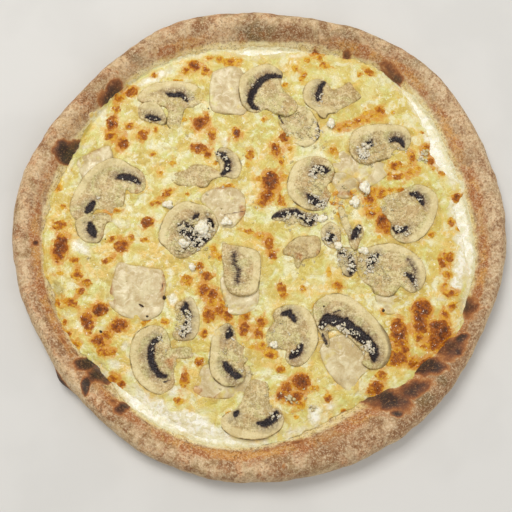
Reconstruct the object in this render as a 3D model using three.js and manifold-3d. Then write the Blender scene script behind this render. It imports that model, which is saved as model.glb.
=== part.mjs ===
// A whole baked mushroom pizza, built alone: dough with a puffed, uneven rim, a white cream layer,
// a melted cheese layer, cooked chicken slices, mushroom slices and the largest crumbs of hard cheese.
// Millimetres, +Z up, flat underside at z = 0. Seen from above, +X is to the right and +Y away.
import * as THREE from "three";
import { mergeVertices } from "three/addons/utils/BufferGeometryUtils.js";
import Module from "manifold-3d";

const wasm = await Module();
wasm.setup();

// Driving sizes
const EDGE = [147.04, 1.43, 1.57, 1.44, 0.9, -0.59, 1.43, 0.56, 0.31, -1.16, 0.01, 0.85, -0.63, 0.53, 0.24]; // outer radius: mean, then cosine and sine of each harmonic
const FOOT = [125.64, -0.19, 2.32, 2.79, 2.59, 0.97, 0.64, 0.21, -1.56, -0.87, -2.3, 0.45, -0.67]; // radius where the rim meets the filling
const RIM_HEIGHT = 18.4; // crest of the rim, on average
const DOUGH = 4.4; // thickness under the filling
const CREAM_Z = DOUGH + 0.4;
const CREAM = 1.3;
const CHEESE_Z = CREAM_Z + CREAM + 0.5;
const CHEESE = 1.9;
const GAP = 0.35; // clearance between two pieces
const SLICE = 3.1; // thickness of a mushroom slice
const SLAB = 3.4; // thickness of a chicken slice
const TURNS = 84; // facets around the dough

const TAU = Math.PI * 2;
const deg = (a) => (a * Math.PI) / 180;
const clamp = (v, a, b) => Math.min(b, Math.max(a, v));

// A radius as a short series of waves around the pizza.
function waves(list, a) {
  let r = list[0];
  for (let k = 1; 2 * k < list.length; k++)
    r += list[2 * k - 1] * Math.cos(k * a) + list[2 * k] * Math.sin(k * a);
  return r;
}
const edgeAt = (a) => waves(EDGE, a);
const footAt = (a) => waves(FOOT, a);
// How much the rim has risen at an angle: broad swellings and small blisters.
const riseAt = (a) =>
  1 + 0.06 * Math.sin(2 * a + 4.0) + 0.05 * Math.sin(5 * a + 1.2) + 0.045 * Math.sin(9 * a + 2.1) + 0.03 * Math.sin(17 * a + 0.6);

// Section of the dough. The first number runs 0 at the middle, 1 at the foot of the rim, 2 at the outer edge.
const TOP = [[0, 0.24], [0.5, 0.24], [0.95, 0.25], [1.0, 0.32], [1.11, 0.49], [1.24, 0.68], [1.4, 0.86], [1.56, 0.97], [1.7, 1.0], [1.84, 0.92], [1.95, 0.73], [2.0, 0.48]];
const UNDER = [[1.97, 0.26], [1.88, 0.1], [1.74, 0.015], [1.5, 0], [0.8, 0], [0, 0]];

const radiusOf = (t, a) => (t <= 1 ? t * footAt(a) : footAt(a) + (t - 1) * (edgeAt(a) - footAt(a)));
function heightOf(t, share, a) {
  const lift = clamp((t - 0.98) / 0.3, 0, 1) * clamp(share * 2, 0, 1);
  return share * RIM_HEIGHT * (1 + (riseAt(a) - 1) * lift);
}
// Height of the dough's upper face over a point of the plan.
function doughTop(x, y) {
  const a = Math.atan2(y, x), r = Math.hypot(x, y);
  const t = r <= footAt(a) ? r / footAt(a) : 1 + (r - footAt(a)) / (edgeAt(a) - footAt(a));
  for (let i = 1; i < TOP.length; i++)
    if (t <= TOP[i][0]) {
      const [t0, s0] = TOP[i - 1], [t1, s1] = TOP[i];
      return heightOf(t, s0 + ((s1 - s0) * (t - t0)) / (t1 - t0), a);
    }
  return 0;
}

// Turns a geometry into one closed surface with shared corners, facing out.
function closed(g) {
  g = g.index ? g.toNonIndexed() : g;
  g.deleteAttribute("normal");
  g.deleteAttribute("uv");
  g = mergeVertices(g, 1e-4);
  const p = g.attributes.position, keep = [];
  const v = [0, 1, 2].map(() => new THREE.Vector3());
  let volume = 0;
  for (let i = 0; i < g.index.count; i += 3) {
    const f = [0, 1, 2].map((k) => g.index.getX(i + k));
    if (f[0] === f[1] || f[1] === f[2] || f[0] === f[2]) continue;
    f.forEach((n, k) => v[k].fromBufferAttribute(p, n));
    volume += v[0].dot(v[1].clone().cross(v[2]));
    keep.push(f);
  }
  g.setIndex(keep.flatMap((f) => (volume < 0 ? [f[0], f[2], f[1]] : f)));
  return g;
}

// A turned body whose plan radius and height are then moved by angle.
function turned(profile, segments, move) {
  const g = new THREE.LatheGeometry(profile.map(([t, z]) => new THREE.Vector2(t, z)), segments);
  const p = g.attributes.position;
  for (let i = 0; i < p.count; i++) {
    const t = Math.hypot(p.getX(i), p.getZ(i)), z = p.getY(i);
    const a = t < 1e-6 ? 0 : Math.atan2(-p.getZ(i), p.getX(i));
    const [r, h] = move(t, z, t < 1e-6 ? 0 : a);
    p.setXYZ(i, t < 1e-6 ? 0 : r * Math.cos(a), t < 1e-6 ? 0 : r * Math.sin(a), h);
  }
  return closed(g);
}

const root = new THREE.Group();
function add(name, geometry, colour) {
  const mesh = new THREE.Mesh(geometry, new THREE.MeshStandardMaterial({ color: colour, roughness: 0.6 }));
  mesh.name = name;
  root.add(mesh);
  return mesh;
}

// Dough
add("crust", turned([...UNDER].reverse().concat([...TOP].reverse()), TURNS, (t, s, a) => [radiusOf(t, a), heightOf(t, s, a)]), 0xc9a57c);

// White cream: spread over the dough up to the foot of the rim.
const creamEdge = (a) => footAt(a) - 4.1 + 0.4 * Math.sin(7 * a + 1) + 0.2 * Math.sin(13 * a);
add("cream_sauce", turned(
  [[0, 0], [0.6, 0], [0.96, 0.05], [1, 0.5], [1, 0.8], [0.985, 1], [0.6, 1], [0, 1]], 60,
  (t, s, a) => [t * creamEdge(a), CREAM_Z + s * CREAM]), 0xf2efdf);

// Melted cheese: stops short of the rim where the cream shows, most of all on the right and along the front.
const bare = (a, at, wide) => {
  const d = ((a - at + TAU * 1.5) % TAU) - Math.PI;
  return Math.exp((-d * d) / (2 * wide * wide));
};
const cheeseEdge = (a) =>
  footAt(a) - 4.5 - 6.5 * bare(a, deg(14), 0.42) - 4 * bare(a, deg(38), 0.2) - 5.5 * bare(a, deg(248), 0.4) - 2.5 * bare(a, deg(88), 0.2)
  - 1.2 * Math.sin(5 * a + 0.4) - 1.2 * Math.sin(11 * a + 2) - 0.8 * Math.sin(17 * a);
const puddle = (x, y) => 0.35 * Math.sin(x / 9 + 1.1) * Math.cos(y / 11 + 0.4) + 0.3 * Math.sin((x + y) / 17) + 0.2 * Math.sin((x - 2 * y) / 13 + 2);
const cheeseTop = (x, y) => CHEESE_Z + CHEESE + puddle(x, y);
add("cheese", turned(
  [[0, 0], [0.5, 0], [1, 0.1], [1.01, 0.45], [0.985, 0.85], [0.94, 1], [0.8, 1], [0.64, 1], [0.48, 1], [0.32, 1], [0.16, 1], [0, 1]], 60,
  (t, s, a) => {
    const r = t * cheeseEdge(a);
    return [r, CHEESE_Z + s * (CHEESE + (s > 0.5 ? puddle(r * Math.cos(a), r * Math.sin(a)) : 0))];
  }), 0xe9dd98);

// A smooth closed line through a few corners.
const rounded = (corners, count) =>
  new THREE.SplineCurve([...corners, corners[0]].map(([x, y]) => new THREE.Vector2(x, y))).getSpacedPoints(count).slice(0, -1);

function inside(loop, x, y) {
  let hit = false;
  for (let i = 0, j = loop.length - 1; i < loop.length; j = i++)
    if (loop[i].y > y !== loop[j].y > y && x < ((loop[j].x - loop[i].x) * (y - loop[i].y)) / (loop[j].y - loop[i].y) + loop[i].x)
      hit = !hit;
  return hit;
}

// What a piece put down later rests on.
const laid = [];
function support(x, y) {
  let z = Math.max(cheeseTop(x, y), doughTop(x, y)), solid = false;
  for (const p of laid)
    if (inside(p.reach, x, y)) {
      const top = p.at(x, y) + p.thick;
      if (top > z) (z = top), (solid = true);
    }
  return [z, solid];
}

// The tilted plane on which a flat slice comes to rest: the best fit to what is under it, lifted clear.
function rest(loop, thick) {
  const xs = loop.map((p) => p.x), ys = loop.map((p) => p.y), pts = [];
  const step = 1.6;
  for (let x = Math.min(...xs) - 1; x <= Math.max(...xs) + 1; x += step)
    for (let y = Math.min(...ys) - 1; y <= Math.max(...ys) + 1; y += step)
      if (inside(loop, x, y)) pts.push([x, y, support(x, y)[0]]);
  for (const p of loop) pts.push([p.x, p.y, support(p.x, p.y)[0]]);
  const n = pts.length, mx = pts.reduce((s, p) => s + p[0], 0) / n, my = pts.reduce((s, p) => s + p[1], 0) / n, mz = pts.reduce((s, p) => s + p[2], 0) / n;
  let xx = 0, xy = 0, yy = 0, xz = 0, yz = 0;
  for (const [x, y, z] of pts) {
    xx += (x - mx) ** 2; xy += (x - mx) * (y - my); yy += (y - my) ** 2;
    xz += (x - mx) * (z - mz); yz += (y - my) * (z - mz);
  }
  const d = xx * yy - xy * xy;
  const sx = clamp((xz * yy - yz * xy) / d, -0.2, 0.2), sy = clamp((yz * xx - xz * xy) / d, -0.2, 0.2);
  const lift = Math.max(...pts.map(([x, y, z]) => z - (sx * (x - mx) + sy * (y - my))));
  const at = (x, y) => lift + GAP + sx * (x - mx) + sy * (y - my);
  return at;
}

// A flat slice of a given outline, laid on what is already there.
function lay(name, loop, thick, crown, colour) {
  const at = rest(loop, thick);
  const g = new THREE.ExtrudeGeometry(new THREE.Shape(loop), { depth: 1, bevelEnabled: false });
  const p = g.attributes.position;
  const c = loop.reduce((s, q) => s.add(q), new THREE.Vector2()).divideScalar(loop.length);
  for (let i = 0; i < p.count; i++) {
    const x = p.getX(i), y = p.getY(i), up = p.getZ(i);
    const pull = up > 0.5 ? 1 - crown / 10 : 1; // the upper face is a little smaller than the lower one
    p.setXYZ(i, c.x + (x - c.x) * pull, c.y + (y - c.y) * pull, at(x, y) + up * thick);
  }
  const grow = loop.map((q, i) => {
    const a = loop[(i + loop.length - 1) % loop.length], b = loop[(i + 1) % loop.length];
    const out = new THREE.Vector2(b.y - a.y, a.x - b.x).normalize().multiplyScalar(THREE.ShapeUtils.isClockWise(loop) ? -1.2 : 1.2);
    return q.clone().add(out);
  });
  laid.push({ reach: grow, at, thick });
  return add(name, closed(g), colour);
}

// Outline of a slice cut through a mushroom: domed cap, rolled-in tips, gill hollows either side of the stem.
// u runs across the cap, v from the stem to the crown; the origin is midway between the tips.
function mushroom([, x, y, heading, w, h, stem, end, length, arch, tipL, tipR, off]) {
  const a = w / 2, pts = [];
  for (let i = 0; i <= 9; i++) {
    const f = (Math.PI * i) / 9, c = Math.cos(f);
    pts.push([a * Math.sign(c) * Math.abs(c) ** 0.9, h * Math.sin(f) ** 0.9]);
  }
  const hollow = (side, tip) => {
    const x0 = a - tip, x1 = stem / 2 + side * off;
    return [[a - tip * 0.75, -tip * 0.35], [x0, 0.35 * arch], [x0 + (x1 - x0) * 0.4, 0.95 * arch], [x1, arch * (stem > 0 ? 0.8 : 1.08)]]
      .map(([u, v]) => [side * u, v]);
  };
  const left = hollow(-1, tipL), right = hollow(1, tipR).reverse();
  pts.push(...left);
  if (stem > 0)
    pts.push([off - end / 2, -0.8 * length], [off - end * 0.3, -length], [off + end * 0.3, -length], [off + end / 2, -0.8 * length], ...right);
  else pts.push(...right.slice(1));
  const d = new THREE.Vector2(Math.cos(deg(heading)), Math.sin(deg(heading)));
  const world = pts.map(([u, v]) => [x + u * -d.y - v * d.x, y + u * d.x - v * d.y]);
  return rounded(world, 30);
}

// Chicken slices: corners of each slab in plan.
const CHICKEN = [
  [[-113.7, 47.1], [-105.3, 53.6], [-95.6, 58.8], [-90.5, 54.9], [-87.6, 42], [-98.4, 34.3], [-109.5, 33], [-117, 38.1]],
  [[-84.6, -15.9], [-71.3, -15.9], [-58.5, -20.8], [-55.3, -34.3], [-56.2, -47.6], [-70.4, -51.2], [-87.2, -47.6], [-91.7, -39.1]],
  [[-28.5, 107.1], [-12.7, 109.1], [-5.1, 95.7], [-8.8, 78.5], [-28.2, 79.8]],
  [[-36.9, 25.4], [-27.7, 31.7], [-11.2, 31.1], [-6.2, 19.7], [-9.3, 10.2], [-15.9, 5.2], [-26.9, 6.4], [-33.7, 15.2]],
  [[-21.8, -24.5], [-0.7, -29.4], [-0.7, -44.6], [-10.9, -47.6], [-21, -45.2]],
  [[-30.2, -77.3], [-35.4, -86.7], [-38.2, -94.3], [-30.6, -98.3], [-11.9, -96.6], [-3.7, -87.9], [-7.2, -77.3]],
  [[37.2, -66.1], [51.5, -59.6], [63.7, -69.1], [65.2, -80.8], [60.2, -91.4], [52, -93.1], [42.1, -87.3], [36.4, -77.9]],
  [[69.4, -31.8], [78.9, -36.1], [89.7, -35.5], [87.6, -44.6], [80.3, -48.8], [72.1, -45.2]],
  [[46.3, 49.7], [53.8, 54.9], [64.2, 48.4], [78.9, 46.5], [80.6, 40], [68.7, 31.1], [57.7, 34.3], [47.3, 40]],
  [[44.8, 38.1], [52.9, 40], [61.4, 34.9], [63.7, 28.5], [56.2, 23.5], [46.5, 25.4]],
];
CHICKEN.forEach((corners, i) =>
  lay("chicken_" + String(i + 1).padStart(2, "0"), rounded(corners, 18), SLAB, 0.6, 0xe2d0aa));

// Mushroom slices, lowest first: number, x, y, heading of the stem in degrees, cap width, cap height,
// stem width, width at the stem's end, stem length past the tips, height of the gill hollow, left tip, right tip, stem offset
const MUSHROOMS = [
  [22, 27.1, -8.5, -100, 23.8, 11.6, 7.9, 6.1, 9.2, 2.4, 3.7, 3.7, 0],
  [21, 21.8, 9, -95, 30.6, 9.2, 9.8, 8.6, 4.9, 4.9, 2.4, 2.4, 0],
  [6, 24.2, 73.8, 150, 28.1, 14.7, 15.9, 14.7, 9.8, 4.9, 3.7, 3.7, 0],
  [5, 3.7, 91, -50, 35.4, 18.3, 15.9, 15.9, 18.3, 9.2, 3.7, 3.7, 0],
  [20, 40.7, 89.1, 18, 25.7, 14.7, 12.2, 12.8, 23.2, 6.7, 3.7, 3.7, 0],
  [3, -53.3, 85.1, -88, 39.1, 15.3, 7.3, 8.6, 15.9, 6.7, 9.8, 7.9, -3.7],
  [4, -67.4, 73.8, -108, 21.4, 12.2, 0, 0, 0, 4.9, 3.1, 3.1, 0],
  [7, -24.2, 43.9, 190, 22, 14.1, 9.8, 11.6, 29.3, 4.9, 3.1, 3.1, 0],
  [8, -40.8, 2.1, -48, 37.9, 23.2, 29.3, 22, 12.2, 1.2, 3.1, 3.1, 0],
  [9, -17.6, -19.6, 180, 33, 19.6, 19.6, 18.3, 2.4, 1.2, 4.9, 4.9, 0],
  [10, -46.6, -52.4, 180, 28.1, 14.1, 8.6, 7.3, 2.4, 6.1, 3.7, 3.7, 0],
  [13, -3.7, -105.3, 86, 41.5, 18.3, 16.5, 10.4, 21.4, 5.5, 4.9, 4.9, 0],
  [12, -16.1, -72, 10, 37.9, 12.8, 13.4, 13.4, 15.9, 4.9, 3.7, 3.7, 0],
  [11, -56.8, -74.4, 3, 42.8, 20.8, 8.6, 5.5, 19.6, 8.6, 5.5, 5.5, 0],
  [14, 15.9, -60.7, 186, 36.7, 20.2, 12.2, 12.2, 12.2, 7.3, 4.9, 4.9, 0],
  [15, 51.4, -64.3, -129, 53.8, 23.8, 0, 0, 0, 5.5, 5.5, 5.5, 0],
  [25, 51.1, -18.4, 195, 20.8, 9.8, 4.9, 4.9, 3.7, 5.5, 3.1, 3.1, 0],
  [23, 47.9, 3.3, 55, 20.8, 10.4, 7.3, 6.1, 12.2, 4.3, 3.1, 3.1, 0],
  [24, 63, 0.2, -35, 19.6, 9.2, 6.1, 5.5, 1.8, 4.9, 3.1, 3.1, 0],
  [17, 35.5, 31.7, 2, 33, 17.1, 9.8, 8.6, 7.3, 7.9, 3.7, 3.7, 0],
  [16, 79.8, -26.3, -112, 40.9, 22, 15.9, 14.7, 6.1, 7.3, 6.7, 4.9, 0],
  [18, 89, 14.6, 163, 35.4, 22, 11, 11, 15.9, 7.3, 4.3, 4.3, 0],
  [19, 75.4, 51.7, -84, 37.9, 19.6, 14.7, 13.4, 4.9, 7.3, 4.9, 4.9, 0],
  [1, -90, 19.7, -62, 50.1, 28.1, 15.9, 12.2, 5.5, 12.2, 10.4, 4.9, 0],
  [2, -98.7, 6.4, 25, 18.9, 12.8, 4.9, 4.3, 5.5, 5.5, 3.1, 3.1, 0],
];
for (const row of MUSHROOMS)
  lay("mushroom_" + String(row[0]).padStart(2, "0"), mushroom(row), SLICE, 0.2, 0xd9c592);

// The largest crumbs of hard white cheese: x, y, width, depth.
const CRUMBS = [
  [-34, 4.5, 9.2, 10.4],
  [-45.3, -4.8, 7.3, 6.7],
  [-19.5, 8.8, 7.3, 7.3],
  [-54.9, 20.1, 7.9, 6.1],
  [-40.3, -19, 5.5, 5.5],
  [45.2, 72.1, 6.7, 8.6],
  [65.2, 30.2, 7.9, 9.8],
  [58.9, 21.4, 7.3, 7.3],
  [39.3, 10.7, 7.3, 6.1],
  [63.7, -9.2, 7.3, 5.5],
  [48.1, -6.1, 6.1, 5.5],
  [9.3, -65.8, 5.5, 5.5],
];
CRUMBS.forEach(([x, y, w, d], i) => {
  const g = new THREE.IcosahedronGeometry(1, 1), p = g.attributes.position, v = new THREE.Vector3();
  const high = 0.36 * (w + d) / 2;
  let z = 0;
  for (let k = 0; k < 40; k++)
    z = Math.max(z, support(x + (w / 2) * Math.cos(k) * ((k % 4) / 3), y + (d / 2) * Math.sin(k) * ((k % 4) / 3))[0]);
  for (let k = 0; k < p.count; k++) {
    v.fromBufferAttribute(p, k).normalize();
    const lump = 1 + 0.09 * Math.sin(5 * v.x + 3 * i) * Math.cos(4 * v.y + i) + 0.07 * Math.sin(6 * v.z + 2 * i);
    p.setXYZ(k, x + (v.x * lump * w) / 2, y + (v.y * lump * d) / 2, z + GAP + high + v.z * high);
  }
  add("cheese_crumb_" + String(i + 1).padStart(2, "0"), closed(g), 0xf1ead2);
});

// Rests at z = 0, centred in plan by its own width and depth.
const box = new THREE.Box3().setFromObject(root);
root.children.forEach((m) => m.geometry.translate(-(box.min.x + box.max.x) / 2, -(box.min.y + box.max.y) / 2, -box.min.z));

export default root;
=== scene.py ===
import bmesh
import bpy
import math
import numpy as np
from mathutils.geometry import delaunay_2d_cdt
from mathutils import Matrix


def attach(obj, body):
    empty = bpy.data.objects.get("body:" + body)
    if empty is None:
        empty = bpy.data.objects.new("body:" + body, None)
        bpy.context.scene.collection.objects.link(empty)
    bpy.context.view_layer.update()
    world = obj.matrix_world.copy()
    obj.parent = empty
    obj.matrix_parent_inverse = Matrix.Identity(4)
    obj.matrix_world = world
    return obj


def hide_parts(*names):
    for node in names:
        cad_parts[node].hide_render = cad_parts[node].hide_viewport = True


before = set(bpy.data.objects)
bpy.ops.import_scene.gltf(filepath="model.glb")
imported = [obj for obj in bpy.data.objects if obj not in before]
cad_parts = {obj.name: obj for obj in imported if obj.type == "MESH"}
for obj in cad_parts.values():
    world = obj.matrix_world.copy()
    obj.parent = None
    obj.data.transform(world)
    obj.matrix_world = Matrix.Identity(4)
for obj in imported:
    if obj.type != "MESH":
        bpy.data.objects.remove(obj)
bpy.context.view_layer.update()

TAU = 2 * math.pi
rng = np.random.default_rng(11)
SHIFT = np.array([-0.19, -0.12])  # the part is centred by its own box

# ------------------------------------------------------------------ camera, and places read off the photograph
ELEV = math.radians(78.0)
FOCAL = 927.67  # pixels of a 512 pixel frame
AIM = np.array([-1.331, -12.321, 10.0])
FAR = 560.0
LOOK = np.array([0.0, math.cos(ELEV), -math.sin(ELEV)])
UPV = np.array([0.0, math.sin(ELEV), math.cos(ELEV)])
EYE = AIM - FAR * LOOK


def at(px, py, z=9.5):
    """Place on the level z (mm) that shows at a pixel of the frame."""
    px = np.asarray(px, float)
    py = np.asarray(py, float)
    ray = (
        LOOK * FOCAL
        + np.multiply.outer(px - 256, np.array([1.0, 0, 0]))
        + np.multiply.outer(256 - py, UPV)
    )
    t = (z - EYE[2]) / ray[..., 2]
    return (EYE[:2] + ray[..., :2] * t[..., None]) + SHIFT


PX = 0.611  # mm for each pixel at the height of the topping

# ------------------------------------------------------------------ noise
_perm = np.tile(rng.permutation(256), 3)
_grad = rng.normal(size=(256, 3))
_grad /= np.linalg.norm(_grad, axis=1)[:, None]


def noise(p, size, seed=0):
    """Gradient noise, about -1 to 1, of points p (mm), with features of that size."""
    p = np.asarray(p, float)
    if p.shape[1] == 2:
        p = np.c_[p, np.zeros(len(p))]
    q = p / size + np.array([seed * 7.31 + 0.5, seed * 3.17 + 0.2, seed * 5.77 + 0.37])
    i = np.floor(q).astype(np.int64)
    f = q - i
    u = f * f * f * (f * (f * 6 - 15) + 10)
    i &= 255
    out = np.zeros(len(p))
    for dx in (0, 1):
        for dy in (0, 1):
            for dz in (0, 1):
                h = _perm[
                    _perm[_perm[(i[:, 0] + dx) & 255] + ((i[:, 1] + dy) & 255)]
                    + ((i[:, 2] + dz) & 255)
                ]
                g = _grad[h]
                d = (
                    g[:, 0] * (f[:, 0] - dx)
                    + g[:, 1] * (f[:, 1] - dy)
                    + g[:, 2] * (f[:, 2] - dz)
                )
                w = (
                    (u[:, 0] if dx else 1 - u[:, 0])
                    * (u[:, 1] if dy else 1 - u[:, 1])
                    * (u[:, 2] if dz else 1 - u[:, 2])
                )
                out += w * d
    return out * 1.6


def fbm(p, size, octaves=3, seed=0, gain=0.5):
    out, a, tot = 0, 1.0, 0.0
    for k in range(octaves):
        out = out + a * noise(p, size / 2**k, seed + 13 * k)
        tot += a
        a *= gain
    return out / tot


def step(a, b, x):
    t = np.clip((x - a) / (b - a), 0, 1)
    return t * t * (3 - 2 * t)


def warp(p, size, amount, seed):
    p = p[:, :2]
    return p + amount * np.c_[noise(p, size, seed), noise(p, size, seed + 5)]


# ------------------------------------------------------------------ the same sizes as the solids
EDGE = [147.04, 1.43, 1.57, 1.44, 0.9, -0.59, 1.43, 0.56, 0.31, -1.16, 0.01, 0.85, -0.63, 0.53, 0.24]
FOOT = [125.64, -0.19, 2.32, 2.79, 2.59, 0.97, 0.64, 0.21, -1.56, -0.87, -2.3, 0.45, -0.67]
RIM = 18.4
CREAM_TOP = 6.3
CHEESE_TOP = 8.6


def waves(c, a):
    r = c[0] + 0 * a
    for k in range(1, (len(c) + 1) // 2):
        r = r + c[2 * k - 1] * np.cos(k * a) + c[2 * k] * np.sin(k * a)
    return r


def edge_at(a):
    return waves(EDGE, a)


def foot_at(a):
    return waves(FOOT, a)


def rise_at(a):
    return (
        1
        + 0.06 * np.sin(2 * a + 4.0)
        + 0.05 * np.sin(5 * a + 1.2)
        + 0.045 * np.sin(9 * a + 2.1)
        + 0.03 * np.sin(17 * a + 0.6)
    )


def bare(a, where, wide):
    d = (a - math.radians(where) + math.pi) % TAU - math.pi
    return np.exp(-d * d / (2 * wide * wide))


# ------------------------------------------------------------------ meshes
def add_mesh(name, verts, faces, material, attrs=None, smooth=True):
    """verts in mm, faces an (n,3) or (n,4) array or a list of such arrays."""
    me = bpy.data.meshes.new(name)
    faces = faces if isinstance(faces, list) else [faces]
    faces = [np.asarray(f, np.int32) for f in faces if len(f)]
    loops = np.concatenate([f.ravel() for f in faces])
    sizes = np.concatenate([np.full(len(f), f.shape[1], np.int32) for f in faces])
    starts = np.concatenate([[0], np.cumsum(sizes)[:-1]]).astype(np.int32)
    me.vertices.add(len(verts))
    me.vertices.foreach_set("co", (np.asarray(verts, float) * 0.001).astype(np.float32).ravel())
    me.loops.add(len(loops))
    me.loops.foreach_set("vertex_index", loops)
    me.polygons.add(len(sizes))
    me.polygons.foreach_set("loop_start", starts)
    me.update(calc_edges=True)
    me.validate()
    if smooth:
        me.polygons.foreach_set("use_smooth", np.ones(len(me.polygons), bool))
    for key, val in (attrs or {}).items():
        a = me.attributes.new(key, "FLOAT", "POINT")
        a.data.foreach_set("value", np.asarray(val, np.float32).ravel())
    me.materials.append(material)
    ob = bpy.data.objects.new(name, me)
    bpy.context.scene.collection.objects.link(ob)
    return ob


def srgb(r, g, b, share=0.90):
    """A surface colour; share makes room for the lights, so that the palest cream can still be the brightest."""
    return tuple(
        share * ((c / 255) / 12.92 if c / 255 <= 0.04045 else ((c / 255 + 0.055) / 1.055) ** 2.4)
        for c in (r, g, b)
    ) + (1.0,)


class Mat:
    """A short way to write a node material."""

    def __init__(self, name):
        self.m = bpy.data.materials.new(name)
        self.m.use_nodes = True
        self.t = self.m.node_tree
        self.t.nodes.clear()
        self.out = self.t.nodes.new("ShaderNodeOutputMaterial")
        self.b = self.t.nodes.new("ShaderNodeBsdfPrincipled")
        self.t.links.new(self.b.outputs[0], self.out.inputs[0])
        self.co = self.t.nodes.new("ShaderNodeTexCoord").outputs["Object"]

    def link(self, a, b):
        self.t.links.new(a, b)

    def put(self, sock, v):
        if hasattr(v, "is_output"):
            self.link(v, sock)
        else:
            sock.default_value = v

    def attr(self, name):
        n = self.t.nodes.new("ShaderNodeAttribute")
        n.attribute_name = name
        return n.outputs["Fac"]

    def noise(self, size, detail=3, rough=0.55, distortion=0.0, offset=0.0, co=None):
        n = self.t.nodes.new("ShaderNodeTexNoise")
        n.inputs["Scale"].default_value = 1000.0 / size
        n.inputs["Detail"].default_value = detail
        n.inputs["Roughness"].default_value = rough
        n.inputs["Distortion"].default_value = distortion
        c = co or self.co
        if offset:
            m = self.t.nodes.new("ShaderNodeVectorMath")
            m.operation = "ADD"
            self.link(c, m.inputs[0])
            m.inputs[1].default_value = (offset, offset * 0.7, offset * 0.3)
            c = m.outputs[0]
        self.link(c, n.inputs["Vector"])
        # the texture keeps close to its middle; spread it to the whole range
        w = self.t.nodes.new("ShaderNodeMath")
        w.operation = "MULTIPLY_ADD"
        self.link(n.outputs["Fac"], w.inputs[0])
        w.inputs[1].default_value = 2.0
        w.inputs[2].default_value = -0.5
        return w.outputs[0]

    def cells(self, size, feature="F1", randomness=1.0, out="Distance"):
        n = self.t.nodes.new("ShaderNodeTexVoronoi")
        n.feature = feature
        n.inputs["Scale"].default_value = 1000.0 / size
        n.inputs["Randomness"].default_value = randomness
        self.link(self.co, n.inputs["Vector"])
        return n.outputs[out]

    def math(self, op, a, b=0.0, clamp=False):
        n = self.t.nodes.new("ShaderNodeMath")
        n.operation = op
        n.use_clamp = clamp
        self.put(n.inputs[0], a)
        self.put(n.inputs[1], b)
        return n.outputs[0]

    def rng(self, v, a, b, c=0.0, d=1.0, kind="SMOOTHSTEP"):
        n = self.t.nodes.new("ShaderNodeMapRange")
        n.interpolation_type = kind
        self.put(n.inputs["Value"], v)
        for k, x in (("From Min", a), ("From Max", b), ("To Min", c), ("To Max", d)):
            n.inputs[k].default_value = x
        return n.outputs["Result"]

    def ramp(self, v, stops):
        n = self.t.nodes.new("ShaderNodeValToRGB")
        e = n.color_ramp.elements
        while len(e) < len(stops):
            e.new(0.5)
        for el, (p, c) in zip(e, stops):
            el.position = p
            el.color = c
        self.put(n.inputs[0], v)
        return n.outputs[0]

    def mix(self, f, a, b, kind="MIX"):
        n = self.t.nodes.new("ShaderNodeMix")
        n.data_type = "RGBA"
        n.blend_type = kind
        n.clamp_factor = True
        self.put(n.inputs[0], f)
        self.put(n.inputs[6], a)
        self.put(n.inputs[7], b)
        return n.outputs[2]

    def bump(self, h, strength, dist, normal=None):
        n = self.t.nodes.new("ShaderNodeBump")
        n.inputs["Strength"].default_value = strength
        n.inputs["Distance"].default_value = dist * 0.0005
        self.put(n.inputs["Height"], h)
        if normal is not None:
            self.link(normal, n.inputs["Normal"])
        return n.outputs[0]

    def done(self, color, rough, normal=None, sub=0.0, radius=(1, 0.7, 0.4), scale=2.0, spec=0.5, coat=0.0, coat_rough=0.2):
        b = self.b
        self.put(b.inputs["Base Color"], color)
        self.put(b.inputs["Roughness"], rough)
        b.inputs["Specular IOR Level"].default_value = spec
        if normal is not None:
            self.link(normal, b.inputs["Normal"])
        if sub:
            b.inputs["Subsurface Weight"].default_value = sub
            b.inputs["Subsurface Radius"].default_value = radius
            b.inputs["Subsurface Scale"].default_value = scale * 0.001
        if coat:
            b.inputs["Coat Weight"].default_value = coat
            b.inputs["Coat Roughness"].default_value = coat_rough
        return self.m


# ------------------------------------------------------------------ spots
def spots_field(P, spots, size, wob, seed):
    """For points P, how far inside the nearest spot each is: 1 at a middle, 0 at an edge, down to -1. spots: x, y, half-width, half-depth, turn, strength (mm, degrees)."""
    Q = warp(P, size, wob, seed)
    Q = Q + 0.45 * wob * np.c_[noise(Q, size * 0.4, seed + 9), noise(Q, size * 0.4, seed + 14)]
    f = np.full(len(P), -1.0)
    s = np.zeros(len(P))
    for x, y, a, b, turn, power in spots:
        near = np.nonzero((abs(P[:, 0] - x) < 2.6 * max(a, b) + 3) & (abs(P[:, 1] - y) < 2.6 * max(a, b) + 3))[0]
        if not len(near):
            continue
        c, sn = math.cos(math.radians(turn)), math.sin(math.radians(turn))
        dx, dy = Q[near, 0] - x, Q[near, 1] - y
        u, v = (dx * c + dy * sn) / a, (-dx * sn + dy * c) / b
        # an edge band is as wide on a small spot as on a large one
        d = np.sqrt(u * u + v * v)
        g = np.clip((1 - d) * min(a, b) / 2.4, -1, 1)
        better = g > f[near]
        f[near] = np.where(better, g, f[near])
        s[near] = np.where(better, power, s[near])
    return f, s


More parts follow.
